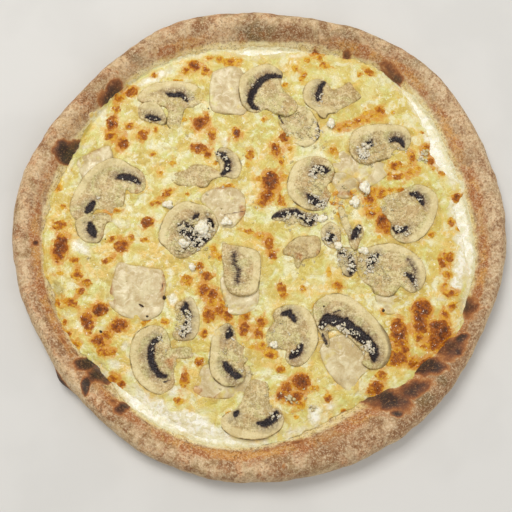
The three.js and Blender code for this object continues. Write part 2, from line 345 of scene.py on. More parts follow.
def soft_field(P, spots, size, wob, seed, reach=0.0, merge=True):
    """0 to 1: spots that fade with distance and run together. reach: how far the fade goes past an edge (mm); 0 fades with the spot's own size."""
    Q = warp(P, size, wob, seed)
    Q = Q + 0.45 * wob * np.c_[noise(Q, size * 0.4, seed + 9), noise(Q, size * 0.4, seed + 14)]
    keep = np.ones(len(P))
    for x, y, a, b, turn, power in spots:
        far = 2.2 * max(a, b) + 3 + 2.5 * reach
        near = np.nonzero((abs(P[:, 0] - x) < far) & (abs(P[:, 1] - y) < far))[0]
        if not len(near):
            continue
        c, sn = math.cos(math.radians(turn)), math.sin(math.radians(turn))
        dx, dy = Q[near, 0] - x, Q[near, 1] - y
        d = np.hypot((dx * c + dy * sn) / a, (-dx * sn + dy * c) / b)
        if reach:
            out = np.maximum(d - 1, 0) * min(a, b)
            keep[near] *= 1 - power * np.exp(-((out / reach) ** 2))
        else:
            fade = 1 - power * np.exp(-(d**2))
            keep[near] = keep[near] * fade if merge else np.minimum(keep[near], fade)
    return 1 - keep


def px_spots(rows, z=9.5):
    out = []
    for r in rows:
        x, y, w, h = r[:4]
        turn = r[4] if len(r) > 4 else 0
        power = r[5] if len(r) > 5 else 0.5
        p = at(x, y, z)
        out.append((p[0], p[1], w * PX / 2, h * PX / 2, turn, power))
    return out


# Browned blisters of the cheese: pixel x, y, width, depth, turn, how dark (0 to 1)
BLISTERS = [
    (154, 74, 7, 7), (131, 91, 13, 12, 0, 0.6), (119, 97, 11, 9), (116, 108, 8, 9, 0, 0.3), (112, 123, 12, 18, 0, 0.75), (111, 136, 13, 9), (129, 126, 10, 8), (143, 135, 10, 13, 0, 0.6),
    (123, 143, 11, 14, 0, 0.85), (153, 154, 8, 6, 0, 0.2), (172, 163, 7, 6, 0, 0.4), (161, 172, 6, 5, 0, 0.2), (167, 193, 13, 7, 25, 0.5), (155, 202, 12, 5, 10, 0.4), (58, 187, 7, 8, 0, 0.3),
    (147, 222, 14, 12, -20, 0.75), (145, 240, 8, 5, 0, 0.3), (121, 246, 15, 13, 0, 0.75), (112, 238, 8, 6, 30, 0.4), (131, 237, 7, 8, 0, 0.3), (107, 260, 11, 6, 20, 0.5), (59, 224, 15, 9, 10, 0.5),
    (34, 241, 5, 6, 0, 0.3), (60, 247, 15, 29, -8, 0.95), (74, 260, 11, 8, 0, 0.4), (77, 274, 12, 11, 0, 0.4), (87, 282, 9, 7), (80, 291, 9, 8), (59, 273, 7, 5, 0, 0.2), (70, 302, 14, 9, -20, 0.5),
    (56, 302, 6, 8), (100, 309, 17, 13, 15, 0.9), (87, 322, 12, 20, 20, 0.8), (119, 325, 17, 13, 12, 0.8), (107, 335, 9, 9, 0, 0.6), (98, 341, 12, 14, 30, 0.75), (103, 352, 12, 8, 0, 0.5), (112, 352, 7, 6),
    (194, 65, 13, 13, 0, 0.7), (186, 71, 8, 7, 0, 0.5), (205, 70, 9, 11, 0, 0.5), (208, 57, 7, 6, 0, 0.2), (220, 59, 10, 8, 0, 0.15), (230, 62, 14, 10, 0, 0.2), (295, 68, 7, 7, 0, 0.15), (303, 76, 7, 11, -30, 0.2), (285, 84, 6, 5, 0, 0.05),
    (199, 123, 14, 15, 0, 0.85), (206, 118, 8, 10, 0, 0.8), (212, 135, 8, 12, 0, 0.6), (236, 133, 10, 12, 0, 0.7), (199, 148, 19, 11, -12, 0.75), (207, 154, 8, 8, 0, 0.6), (250, 154, 9, 10, 0, 0.6), (248, 164, 5, 5, 0, 0.2), (216, 162, 5, 5, 0, 0.4),
    (284, 137, 9, 11, 0, 0.85), (276, 149, 9, 16, 10, 0.7), (290, 148, 6, 6, 0, 0.3), (281, 161, 5, 12, 15, 0.3), (271, 180, 17, 20, 0, 1.0), (260, 178, 9, 6, 10, 0.4), (284, 176, 6, 5, 0, 0.3), (267, 196, 13, 15, -30, 0.7), (281, 200, 7, 12, 20, 0.5),
    (262, 203, 10, 8, 0, 0.5), (249, 231, 13, 5, -12, 0.35), (260, 236, 10, 5, -10, 0.3), (269, 243, 9, 14, 10, 0.75), (273, 255, 8, 9, 0, 0.8), (187, 194, 4, 4, 0, 0.15), (214, 249, 7, 8, 0, 0.15), (218, 256, 10, 7, -30, 0.15),
    (199, 266, 8, 10, 30, 0.5), (207, 276, 11, 10, 0, 0.8), (204, 290, 13, 12, 0, 0.7), (212, 294, 11, 10, 0, 0.85), (186, 278, 9, 8, 20, 0.5), (188, 284, 5, 4, 0, 0.3), (209, 315, 13, 14, 0, 0.7), (219, 311, 10, 9, 0, 0.6), (228, 316, 9, 12, 20, 0.6),
    (204, 333, 8, 9, 0, 0.5), (222, 303, 6, 12, 25, 0.5), (245, 316, 8, 9, 0, 0.55), (244, 329, 10, 15, 0, 0.75), (261, 322, 8, 12, -15, 0.5), (259, 333, 9, 13, 10, 0.5), (262, 345, 8, 8, 0, 0.15), (282, 290, 9, 15, 15, 0.6), (303, 288, 7, 5, -25, 0.3),
    (185, 379, 9, 16, -5, 0.7), (199, 362, 9, 8, 25, 0.55), (179, 400, 9, 7, 0, 0.3), (121, 384, 7, 9, 0, 0.6), (112, 378, 10, 9, 0, 0.6), (228, 413, 7, 5, 0, 0.15), (271, 354, 15, 9, 0, 0.2), (281, 369, 10, 8, -30, 0.4), (252, 347, 8, 4, 20, 0.2),
    (302, 382, 18, 16, 0, 0.95), (287, 388, 11, 11, 0, 0.85), (281, 396, 9, 9, 0, 0.8), (297, 396, 13, 10, 10, 0.85), (290, 399, 8, 8, 0, 0.85), (301, 405, 8, 7, 0, 0.2), (315, 388, 10, 5, 5, 0.25), (328, 398, 9, 9, 0, 0.5), (296, 416, 6, 5, 0, 0.15), (344, 410, 6, 5, 0, 0.15),
    (381, 375, 11, 8, 15, 0.45), (384, 310, 4, 4, 0, 0.7), (316, 48, 13, 12, 0, 0.95), (348, 51, 11, 10, -30, 0.95), (320, 57, 6, 6, 0, 0.2), (325, 65, 11, 7, -20, 0.25), (307, 59, 6, 6, 0, 0.2), (369, 71, 9, 10, 0, 0.5), (359, 74, 4, 5, 0, 0.1),
    (380, 110, 11, 9, -15, 0.5), (373, 116, 12, 5, 12, 0.25), (360, 121, 20, 5, 12, 0.45), (347, 126, 12, 5, 15, 0.5), (366, 113, 5, 5, 0, 0.15), (339, 130, 6, 5, 0, 0.15), (393, 112, 4, 4, 0, 0.1), (423, 132, 6, 5, 0, 0.1), (333, 151, 7, 9, 0, 0.4),
    (338, 175, 8, 7, 0, 0.4), (345, 194, 18, 6, 0, 0.6), (333, 203, 7, 6, 0, 0.3), (341, 212, 6, 14, -20, 0.3), (396, 165, 13, 9, 0, 0.5), (399, 176, 14, 7, 12, 0.5), (411, 173, 9, 6, 20, 0.3), (412, 156, 7, 13, 0, 0.6), (426, 150, 9, 9, 0, 0.55), (427, 146, 6, 5, 0, 0.4),
    (431, 160, 7, 8, 0, 0.6), (434, 168, 4, 5, 0, 0.1), (437, 155, 7, 3, 20, 0.1), (417, 168, 7, 4, 0, 0.2), (370, 200, 12, 13, 0, 0.35), (381, 194, 11, 10, 0, 0.55), (391, 190, 9, 6, 0, 0.25), (401, 190, 8, 7, 0, 0.35), (372, 191, 7, 7, 0, 0.3), (370, 213, 11, 8, -15, 0.65), (378, 209, 5, 5, 0, 0.3),
    (383, 221, 13, 17, -15, 0.8), (387, 230, 9, 9, 0, 0.6), (379, 236, 5, 5, 0, 0.1), (432, 234, 7, 6, 0, 0.15), (338, 285, 10, 9, -25, 0.45), (329, 272, 5, 10, 0, 0.1), (389, 173, 4, 5, 0, 0.2), (443, 172, 8, 6, 0, 0.3), (458, 197, 13, 10, 15, 0.6), (452, 222, 8, 9, 0, 0.4), (460, 227, 7, 7, 0, 0.3),
    (449, 257, 11, 11, 0, 0.75), (443, 262, 9, 11, 20, 0.6), (448, 275, 10, 8, 0, 0.35), (445, 285, 5, 6, 0, 0.3), (451, 293, 15, 7, -5, 0.4), (453, 306, 10, 8, 25, 0.4),
    (422, 309, 19, 20, 0, 0.9), (421, 321, 15, 26, 0, 0.8), (419, 336, 10, 12, 0, 0.5), (399, 332, 16, 27, 4, 0.85), (401, 343, 14, 10, 0, 0.6), (440, 331, 22, 24, -8, 0.95), (435, 344, 15, 14, 0, 0.75), (398, 357, 18, 17, 20, 0.5), (404, 349, 9, 9, 0, 0.5), (392, 364, 10, 7, 0, 0.4),
    (449, 347, 22, 17, -35, 0.65), (457, 343, 12, 12, 0, 0.75), (425, 347, 9, 6, 0, 0.3), (412, 362, 12, 9, 0, 0.5), (376, 388, 17, 14, 10, 0.7), (446, 314, 8, 9, 0, 0.4), (428, 364, 20, 12, 5, 0.9),
    (238, 60, 6, 5, 0, 0.15), (178, 80, 9, 5, 10, 0.1), (264, 119, 5, 7, 0, 0.1), (192, 309, 5, 5, 0, 0.2), (212, 302, 9, 8, 0, 0.4), (316, 305, 6, 5, 30, 0.3), (146, 322, 9, 5, 20, 0.4), (165, 321, 8, 6, 0, 0.25), (134, 191, 9, 3, 0, 0.5), (107, 216, 4, 6, 0, 0.4),
    (117, 210, 9, 3, -10, 0.5), (68, 334, 6, 9, 30, 0.5), (76, 345, 9, 8, 0, 0.4), (64, 322, 5, 6, 0, 0.4), (78, 212, 10, 5, 0, 0.15), (63, 206, 7, 5, 0, 0.2), (155, 129, 6, 8, 0, 0.15), (182, 119, 9, 6, 0, 0.1), (228, 187, 16, 7, 3, 0.3),
]
# Where the white cream lies bare or the cheese is milky
WHITES = [
    (157, 75, 54, 11, 27, 1), (140, 92, 16, 8, 30, 0.7), (103, 116, 9, 20, 10, 1), (86, 145, 12, 7, 30, 0.8), (64, 176, 8, 18, 10, 0.7), (66, 190, 12, 8, 0, 0.5), (80, 246, 24, 14, -25, 1), (75, 235, 12, 7, 0, 0.7), (57, 289, 8, 14, 0, 0.6), (67, 316, 10, 10, 0, 0.6),
    (120, 222, 22, 12, 0, 0.7), (113, 268, 10, 7, 0, 0.6), (173, 203, 14, 8, 0, 0.5), (300, 54, 36, 6, 3, 1), (250, 52, 50, 6, 0, 0.7), (225, 140, 10, 14, 0, 0.8), (245, 145, 9, 8, 0, 0.6), (207, 128, 6, 6, 0, 0.4), (171, 140, 8, 22, 10, 0.6), (296, 92, 8, 10, 0, 0.5),
    (398, 88, 26, 9, -40, 0.7), (418, 108, 34, 12, -52, 0.9), (428, 135, 20, 12, -55, 0.9), (447, 158, 26, 15, -62, 1), (440, 150, 18, 12, -40, 0.8), (420, 155, 8, 10, 0, 0.8), (452, 180, 30, 12, -75, 0.7), (456, 210, 24, 13, -80, 1), (465, 238, 30, 20, -80, 1), (462, 262, 34, 16, 85, 1), (457, 284, 20, 14, 80, 1), (440, 300, 14, 9, 40, 0.7), (435, 289, 12, 10, 0, 0.6),
    (170, 283, 8, 12, 0, 0.8), (172, 300, 10, 12, 0, 0.8), (192, 270, 7, 9, 0, 0.5), (143, 397, 34, 12, -48, 1), (160, 412, 40, 18, -35, 1), (190, 420, 44, 20, -15, 1), (215, 432, 40, 14, -8, 1), (178, 392, 24, 14, 0, 0.8), (243, 442, 34, 7, -5, 0.8), (300, 430, 44, 8, 5, 0.9), (316, 416, 16, 20, 0, 0.9), (330, 405, 16, 12, 0, 0.8), (300, 440, 30, 5, 3, 0.6),
    (131, 375, 10, 18, 20, 0.8), (112, 365, 12, 16, 20, 0.8), (127, 345, 10, 18, 0, 0.7), (122, 312, 12, 8, 0, 0.6), (355, 204, 16, 10, 0, 0.7), (363, 250, 14, 8, 0, 0.5), (428, 344, 10, 8, 0, 0.8), (272, 372, 12, 8, 0, 0.4), (248, 408, 10, 8, 0, 0.4), (262, 290, 8, 14, 0, 0.5), (200, 410, 30, 8, 0, 0.6),
    (330, 55, 14, 10, 0, 0.5), (378, 84, 16, 8, -30, 0.4), (100, 330, 8, 7, 0, 0.6), (310, 355, 8, 14, 10, 0.4), (358, 313, 4, 12, 0, 0.3),
]
# Places where the melted cheese is a deeper yellow
YELLOWS = [
    (300, 268, 60, 44, 0, 0.9), (345, 72, 40, 20, -10, 0.4), (190, 170, 60, 20, 0, 0.3), (150, 110, 24, 20, 0, 0.4), (235, 385, 30, 14, 0, 0.6), (215, 405, 44, 14, 0, 0.7), (260, 300, 30, 20, 0, 0.5), (340, 270, 30, 20, 0, 0.4), (395, 120, 50, 14, -15, 0.5), (300, 150, 30, 30, 0, 0.3),
    (95, 130, 20, 30, 0, 0.5), (350, 395, 40, 16, 0, 0.7), (260, 225, 30, 20, 0, 0.5), (430, 200, 16, 40, 0, 0.3), (150, 265, 40, 16, 0, 0.4), (240, 400, 24, 8, 0, 0.7), (275, 60, 40, 10, 0, 0.3), (190, 350, 30, 20, 0, 0.4),
]

# Clear, oily, greenish places by the rim, and where the milk has run out of the cheese
OILY = [
    (42, 214, 13, 24, 0, 0.9), (57, 290, 17, 20, 10, 0.95), (70, 296, 10, 8, 0, 0.5), (84, 116, 10, 22, 20, 0.6), (60, 170, 10, 16, 10, 0.5), (66, 320, 9, 12, 0, 0.5), (160, 55, 22, 8, 20, 0.4), (338, 60, 16, 6, -15, 0.4), (357, 374, 16, 12, 20, 0.4), (365, 392, 14, 10, 0, 0.4), (48, 236, 8, 10, 0, 0.4),
]

# ------------------------------------------------------------------ raster of heights under the toppings
CELL = 0.5
GN = 600
gx = (np.arange(GN) + 0.5) * CELL - GN * CELL / 2
GX, GY = np.meshgrid(gx, gx, indexing="xy")


def blur(a, sigma):
    r = int(3 * sigma / CELL + 1)
    k = np.exp(-0.5 * (np.arange(-r, r + 1) * CELL / sigma) ** 2)
    k /= k.sum()
    for ax in (0, 1):
        p = np.pad(a, [(r, r) if i == ax else (0, 0) for i in (0, 1)], mode="edge")
        a = sum(w * np.take(p, range(i, i + a.shape[ax]), axis=ax) for i, w in enumerate(k))
    return a


def spread(a, reach):
    r = int(reach / CELL)
    out = a.copy()
    for dx in range(-r, r + 1):
        for dy in range(-r, r + 1):
            if dx * dx + dy * dy <= r * r + 0.5 and (dx or dy):
                out = np.maximum(out, np.roll(np.roll(a, dx, 0), dy, 1))
    return out


def sample(a, p):
    x = np.clip((p[:, 0] + GN * CELL / 2) / CELL - 0.5, 0, GN - 1.001)
    y = np.clip((p[:, 1] + GN * CELL / 2) / CELL - 0.5, 0, GN - 1.001)
    i, j = np.floor(x).astype(int), np.floor(y).astype(int)
    u, v = x - i, y - j
    return (a[j, i] * (1 - u) + a[j, i + 1] * u) * (1 - v) + (a[j + 1, i] * (1 - u) + a[j + 1, i + 1] * u) * v


def to_segments(p, loop, closed=True):
    """Distance of each point to a line of points, and how far along it (0 to 1)."""
    a = np.asarray(loop, float)
    b = np.roll(a, -1, 0) if closed else a[1:]
    a = a if closed else a[:-1]
    best = np.full(len(p), 1e9)
    along = np.zeros(len(p))
    n = len(a)
    for k in range(n):
        d = b[k] - a[k]
        L = d @ d + 1e-12
        t = np.clip(((p[:, 0] - a[k, 0]) * d[0] + (p[:, 1] - a[k, 1]) * d[1]) / L, 0, 1)
        q = (p[:, 0] - a[k, 0] - t * d[0]) ** 2 + (p[:, 1] - a[k, 1] - t * d[1]) ** 2
        m = q < best
        best[m] = q[m]
        along[m] = (k + t[m]) / n
    return np.sqrt(best), along


def inside(p, loop):
    x, y = p[:, 0], p[:, 1]
    hit = np.zeros(len(p), bool)
    b = np.roll(loop, 1, 0)
    for (x0, y0), (x1, y1) in zip(loop, b):
        if y0 == y1:
            continue
        c = (y0 > y) != (y1 > y)
        hit ^= c & (x < (x1 - x0) * (y - y0) / (y1 - y0) + x0)
    return hit


def smooth_loop(P, gap):
    """A closed smooth line through corners, with even spacing."""
    P = np.asarray(P, float)
    n = len(P)
    t = np.linspace(0, 1, 16, endpoint=False)[:, None]
    out = []
    for i in range(n):
        a, b, c, d = P[i - 1], P[i], P[(i + 1) % n], P[(i + 2) % n]
        out.append(0.5 * (2 * b + (c - a) * t + (2 * a - 5 * b + 4 * c - d) * t * t + (3 * b - a - 3 * c + d) * t**3))
    return even(np.concatenate(out), gap, True)


def even(Q, gap, closed):
    Q = np.vstack([Q, Q[:1]]) if closed else Q
    s = np.concatenate([[0], np.cumsum(np.linalg.norm(np.diff(Q, axis=0), axis=1))])
    n = max(8, int(round(s[-1] / gap)))
    u = np.linspace(0, s[-1], n + (0 if closed else 1), endpoint=not closed)
    return np.c_[np.interp(u, s, Q[:, 0]), np.interp(u, s, Q[:, 1])]


# ------------------------------------------------------------------ surfaces before anything is laid on them
def cheese_level(p):
    r = np.hypot(p[:, 0], p[:, 1])
    z = CHEESE_TOP + 0.55 * noise(p, 42, 3) + 0.38 * noise(p, 17, 4) + 0.26 * noise(p, 8, 5) + 0.13 * noise(p, 4, 6)
    return z - 0.5 * step(0.8, 1.0, r / 125)


BASE = cheese_level(np.c_[GX.ravel(), GY.ravel()]).reshape(GN, GN)
_r = np.hypot(GX, GY)
_a = np.arctan2(GY, GX)
_t = 1 + (_r - foot_at(_a)) / (edge_at(_a) - foot_at(_a))
BASE = BASE + 9.0 * step(1.02, 1.35, _t) * (_t < 2)  # the rim's inner slope carries what leans on it
S = BASE.copy()  # top of everything laid so far
HARD = np.zeros_like(S)  # 1 where a topping is

# ------------------------------------------------------------------ materials
def wob(k, v, amount):
    """A noise as a swing about zero."""
    return k.math("MULTIPLY", k.math("SUBTRACT", v, 0.5), amount)


def crust_material():
    k = Mat("baked_dough")
    big, mid = k.noise(24, 3, 0.55, 0.3), k.noise(10, 4, 0.55, 0.5, 3.1)
    fine, dust, grit = k.noise(2.4, 4, 0.66, 0.2, 7.7), k.noise(1.2, 3, 0.66, 0.1, 12.3), k.noise(0.7, 2, 0.6, 0, 21.0)
    hue, flake = k.noise(16, 3, 0.55, 0.6, 40.0), k.noise(4.4, 4, 0.62, 0.4, 55.0)
    col = k.mix(k.rng(big, 0.41, 0.59), srgb(222, 186, 140), srgb(172, 122, 80))
    # pinker, browner and greyer places
    col = k.mix(k.math("MULTIPLY", k.rng(hue, 0.48, 0.70), 0.80), col, srgb(208, 148, 100))
    col = k.mix(k.math("MULTIPLY", k.rng(hue, 0.48, 0.26), 0.80), col, srgb(170, 140, 96))
    col = k.mix(k.math("MULTIPLY", k.rng(mid, 0.50, 0.72), 0.72), col, srgb(232, 202, 160))
    col = k.mix(k.math("MULTIPLY", k.rng(mid, 0.50, 0.28), 0.76), col, srgb(144, 96, 58))
    col = k.mix(k.math("MULTIPLY", k.rng(flake, 0.52, 0.80), 0.30), col, srgb(230, 204, 162))
    col = k.mix(k.math("MULTIPLY", k.rng(flake, 0.48, 0.20), 0.32), col, srgb(146, 100, 62))
    # whole stretches of the rim that are fairer or browner
    tone = k.math("ADD", k.attr("tone"), wob(k, mid, 0.9))
    col = k.mix(k.math("MULTIPLY", k.rng(tone, 0.10, 0.90), 0.84), col, k.mix(k.rng(flake, 0.35, 0.65), srgb(222, 188, 140), srgb(234, 208, 166)))
    col = k.mix(k.math("MULTIPLY", k.rng(tone, -0.10, -0.90), 0.86), col, k.mix(k.rng(flake, 0.35, 0.65), srgb(138, 92, 56), srgb(160, 112, 72)))
    side = k.attr("side")
    col = k.mix(k.math("MULTIPLY", k.attr("pale"), k.rng(mid, 0.3, 0.7, 0.30, 0.80)), col, k.mix(k.rng(fine, 0.35, 0.65), srgb(226, 200, 160), srgb(200, 168, 128)))
    col = k.mix(k.math("MULTIPLY", side, k.rng(mid, 0.3, 0.7, 0.40, 0.80)), col, srgb(226, 200, 158))
    dusk = k.rng(k.math("ADD", k.attr("dusk"), k.math("ADD", wob(k, flake, 0.35), wob(k, mid, 0.5))), 0.12, 0.85)
    col = k.mix(k.math("MULTIPLY", dusk, 0.88), col, k.mix(k.rng(fine, 0.30, 0.70), srgb(98, 76, 46), srgb(132, 106, 66)))
    # pale damp dough where the rim meets the filling, lightened past its own colour as painted light against the shade
    # on the steep inner slope, then the golden line along it
    slope = k.rng(k.math("ADD", k.attr("slope"), wob(k, mid, 0.6)), 0.38, 0.85)
    col = k.mix(k.math("MULTIPLY", slope, 0.88), col, k.mix(k.rng(flake, 0.30, 0.70), srgb(240, 218, 146, 1.0), srgb(252, 240, 190, 1.0)))
    line = k.rng(k.math("ADD", k.attr("line"), k.math("ADD", wob(k, mid, 0.9), wob(k, fine, 0.2))), 0.12, 0.78)
    col = k.mix(k.math("MULTIPLY", line, 0.88), col, k.mix(k.rng(mid, 0.35, 0.65), srgb(228, 166, 86), srgb(180, 106, 50)))
    # flour and fine blistering all over, more in some places than in others
    much = k.rng(hue, 0.35, 0.65, 0.5, 1.0)
    col = k.mix(k.math("MULTIPLY", k.math("MULTIPLY", k.rng(fine, 0.54, 0.84), 0.58), much), col, srgb(132, 92, 58))
    col = k.mix(k.math("MULTIPLY", k.rng(fine, 0.46, 0.14), 0.52), col, srgb(234, 210, 172))
    col = k.mix(k.math("MULTIPLY", k.math("MULTIPLY", k.rng(dust, 0.54, 0.80), 0.62), much), col, srgb(118, 80, 50))
    col = k.mix(k.math("MULTIPLY", k.rng(dust, 0.46, 0.18), 0.56), col, srgb(240, 216, 178))
    col = k.mix(k.math("MULTIPLY", k.rng(grit, 0.60, 0.84), 0.36), col, srgb(246, 226, 192))
    # browned and charred bubbles
    c = k.math("ADD", k.attr("char"), k.math("ADD", wob(k, flake, 0.30), wob(k, fine, 0.16)))
    burnt = k.ramp(c, [(0.20, srgb(212, 154, 94)), (0.34, srgb(178, 114, 64)), (0.52, srgb(134, 80, 50)), (0.72, srgb(92, 58, 44)), (0.90, srgb(58, 40, 38)), (1.0, srgb(44, 32, 34))])
    burnt = k.mix(k.math("MULTIPLY", k.rng(dust, 0.56, 0.80), 0.40), burnt, srgb(196, 148, 100))
    col = k.mix(k.math("MULTIPLY", k.rng(c, 0.12, 0.42), 0.94), col, burnt)
    h = k.math("ADD", k.math("MULTIPLY", flake, 0.6), k.math("MULTIPLY", fine, 0.6))
    n = k.bump(h, 0.65, 1.3)
    n = k.bump(dust, 0.55, 0.6, n)
    rough = k.rng(c, 0.3, 0.8, 0.82, 0.5)
    return k.done(col, rough, n, sub=0.05, scale=1.5, spec=0.18)


def cheese_colour(k):
    """The melted cheese's own colour, shared by what it covers."""
    big, mid, fine, grain = k.noise(19, 3, 0.5, 0.4), k.noise(9.0, 3, 0.50, 0.7, 2.2), k.noise(3.3, 3, 0.55, 0.6, 9.1), k.noise(1.1, 2, 0.6, 0.2, 6.3)
    hue, calm = k.noise(13, 3, 0.5, 0.7, 71.0), k.rng(k.noise(24, 2, 0.5, 0.4, 93.0), 0.38, 0.62, 0.45, 1.15)
    col = k.mix(k.rng(big, 0.35, 0.65), srgb(228, 207, 112), srgb(234, 219, 144))
    col = k.mix(k.math("MULTIPLY", k.rng(hue, 0.50, 0.74), 0.80), col, srgb(222, 219, 134))
    col = k.mix(k.math("MULTIPLY", k.rng(hue, 0.46, 0.24), 0.75), col, srgb(242, 200, 108))
    col = k.mix(k.math("MULTIPLY", k.rng(mid, 0.50, 0.76), 0.80), col, srgb(212, 184, 84))
    col = k.mix(k.math("MULTIPLY", k.rng(mid, 0.46, 0.20), 0.80), col, srgb(244, 239, 196))
    col = k.mix(k.math("MULTIPLY", k.math("MULTIPLY", k.rng(fine, 0.54, 0.82), 0.52), calm), col, srgb(202, 172, 84))
    col = k.mix(k.math("MULTIPLY", k.math("MULTIPLY", k.rng(fine, 0.44, 0.16), 0.50), calm), col, srgb(252, 250, 224))
    col = k.mix(k.math("MULTIPLY", k.rng(grain, 0.62, 0.90), 0.35), col, srgb(190, 160, 80))
    return col, big, mid, fine, grain


def cheese_material(name="melted_cheese"):
    k = Mat(name)
    col, big, mid, fine, grain = cheese_colour(k)
    yellow = k.rng(k.math("ADD", k.attr("yellow"), wob(k, mid, 0.9)), 0.2, 0.9)
    col = k.mix(k.math("MULTIPLY", yellow, 0.60), col, k.mix(k.rng(fine, 0.35, 0.65), srgb(230, 212, 112), srgb(216, 194, 88)))
    white = k.rng(k.math("ADD", k.attr("white"), k.math("ADD", wob(k, mid, 0.8), wob(k, fine, 0.45))), 0.32, 1.0)
    milk = k.mix(k.rng(fine, 0.36, 0.68), srgb(246, 243, 228, 1.0), srgb(226, 218, 182, 1.0))
    milk = k.mix(k.math("MULTIPLY", k.rng(grain, 0.60, 0.90), 0.40), milk, srgb(206, 190, 138))
    col = k.mix(k.math("MULTIPLY", white, 0.92), col, milk)
    # clear oily places, greener and darker
    oil = k.rng(k.math("ADD", k.attr("oil"), k.math("ADD", wob(k, mid, 0.6), wob(k, fine, 0.3))), 0.30, 0.85)
    col = k.mix(k.math("MULTIPLY", oil, 0.80), col, k.mix(k.rng(fine, 0.35, 0.65), srgb(200, 186, 122), srgb(180, 160, 96)))
    # painted contact shade: a darker golden line where the cheese has crept against a topping
    contact_shade = k.rng(k.math("ADD", k.attr("contact_shade"), k.math("ADD", wob(k, mid, 0.8), wob(k, fine, 0.4))), 0.45, 1.1)
    col = k.mix(k.math("MULTIPLY", contact_shade, 0.50), col, srgb(198, 160, 80))
    # toasted glow round the browned bubbles
    patch = k.noise(5.2, 3, 0.55, 0.8, 14.4)
    glow = k.rng(k.math("ADD", k.attr("glow"), k.math("ADD", wob(k, patch, 0.80), wob(k, fine, 0.22))), 0.16, 1.0)
    warm = k.mix(k.rng(glow, 0.30, 0.95), srgb(230, 194, 86), srgb(216, 144, 34))
    col = k.mix(k.math("MULTIPLY", glow, 0.90), col, warm)
    # browned bubbles: golden at the edge, brown inside, darkest in the middle of the strongest ones
    torn = k.noise(2.9, 2, 0.50, 0.5, 4.4)
    b = k.math("ADD", k.attr("blister"), wob(k, torn, 0.66))
    d = k.attr("burn")
    speck = k.noise(1.15, 3, 0.62, 0.4, 15.0)
    clot = k.noise(3.2, 2, 0.50, 0.4, 31.0)
    tone = k.math("ADD", k.math("MULTIPLY", b, 0.38), k.math("SUBTRACT", k.math("MULTIPLY", d, 0.46), 0.07))
    tone = k.math("ADD", tone, k.math("ADD", wob(k, clot, 0.70), wob(k, speck, 0.46)))
    hot = k.ramp(tone, [(0.0, srgb(232, 180, 50)), (0.18, srgb(216, 152, 28)), (0.36, srgb(190, 110, 8)), (0.56, srgb(160, 82, 6)), (0.76, srgb(124, 58, 10)), (0.98, srgb(82, 36, 14))])
    hot = k.mix(k.math("MULTIPLY", k.rng(speck, 0.62, 0.88), 0.32), hot, srgb(228, 150, 60))
    # painted glints: pale specks inside the browned bubbles
    hot = k.mix(k.math("MULTIPLY", k.rng(grain, 0.72, 0.94), 0.40), hot, srgb(246, 206, 150))
    col = k.mix(k.math("MULTIPLY", k.rng(b, -0.16, 0.12), 0.97), col, hot)
    # painted glints: tiny bright white specks that stand in for highlights on the cheese
    col = k.mix(k.math("MULTIPLY", k.rng(k.noise(1.5, 3, 0.7, 0.4, 66.0), 0.79, 0.92), 0.85), col, srgb(255, 252, 238, 1.0))
    h = k.math("ADD", k.math("MULTIPLY", mid, 0.8), k.math("MULTIPLY", fine, 0.8))
    n = k.bump(h, 0.65, 2.2)
    n = k.bump(grain, 0.50, 0.55, n)
    n = k.bump(k.math("MULTIPLY", speck, k.rng(b, -0.2, 0.4, 0.15, 1.0)), 0.75, 0.9, n)
    rough = k.rng(fine, 0.35, 0.65, 0.22, 0.40)
    k.done(col, rough, n, sub=0.08, radius=(1, 0.8, 0.45), scale=1.4, spec=0.34)
    k.put(k.b.inputs["Specular IOR Level"], k.rng(b, -0.2, 0.3, 0.36, 0.24))
    return k.m


def cream_material():
    k = Mat("cream")
    mid, fine, grain = k.noise(6.5, 3, 0.55, 0.7), k.noise(2.2, 4, 0.60, 0.4, 4.0), k.noise(0.95, 3, 0.6, 0.2, 9.0)
    col = k.mix(k.rng(mid, 0.38, 0.66), srgb(252, 249, 234, 1.0), srgb(240, 234, 204, 1.0))
    col = k.mix(k.math("MULTIPLY", k.rng(fine, 0.56, 0.82), 0.45), col, srgb(220, 208, 160))
    col = k.mix(k.math("MULTIPLY", k.rng(grain, 0.60, 0.84), 0.35), col, srgb(200, 186, 136))
    col = k.mix(k.math("MULTIPLY", k.rng(k.noise(11, 3, 0.5, 0.6, 17.0), 0.50, 0.74), 0.62), col, k.mix(k.rng(fine, 0.35, 0.65), srgb(228, 222, 166), srgb(240, 234, 196)))
    thin = k.rng(k.math("ADD", k.attr("thin"), wob(k, mid, 0.7)), 0.25, 0.95)
    col = k.mix(k.math("MULTIPLY", thin, 0.85), col, k.mix(k.rng(fine, 0.35, 0.65), srgb(224, 208, 150), srgb(240, 230, 186)))
    n = k.bump(k.math("ADD", mid, k.math("MULTIPLY", fine, 0.6)), 0.6, 2.0)
    n = k.bump(grain, 0.4, 0.5, n)
    return k.done(col, k.rng(fine, 0.3, 0.7, 0.20, 0.40), n, sub=0.10, scale=2, spec=0.5)


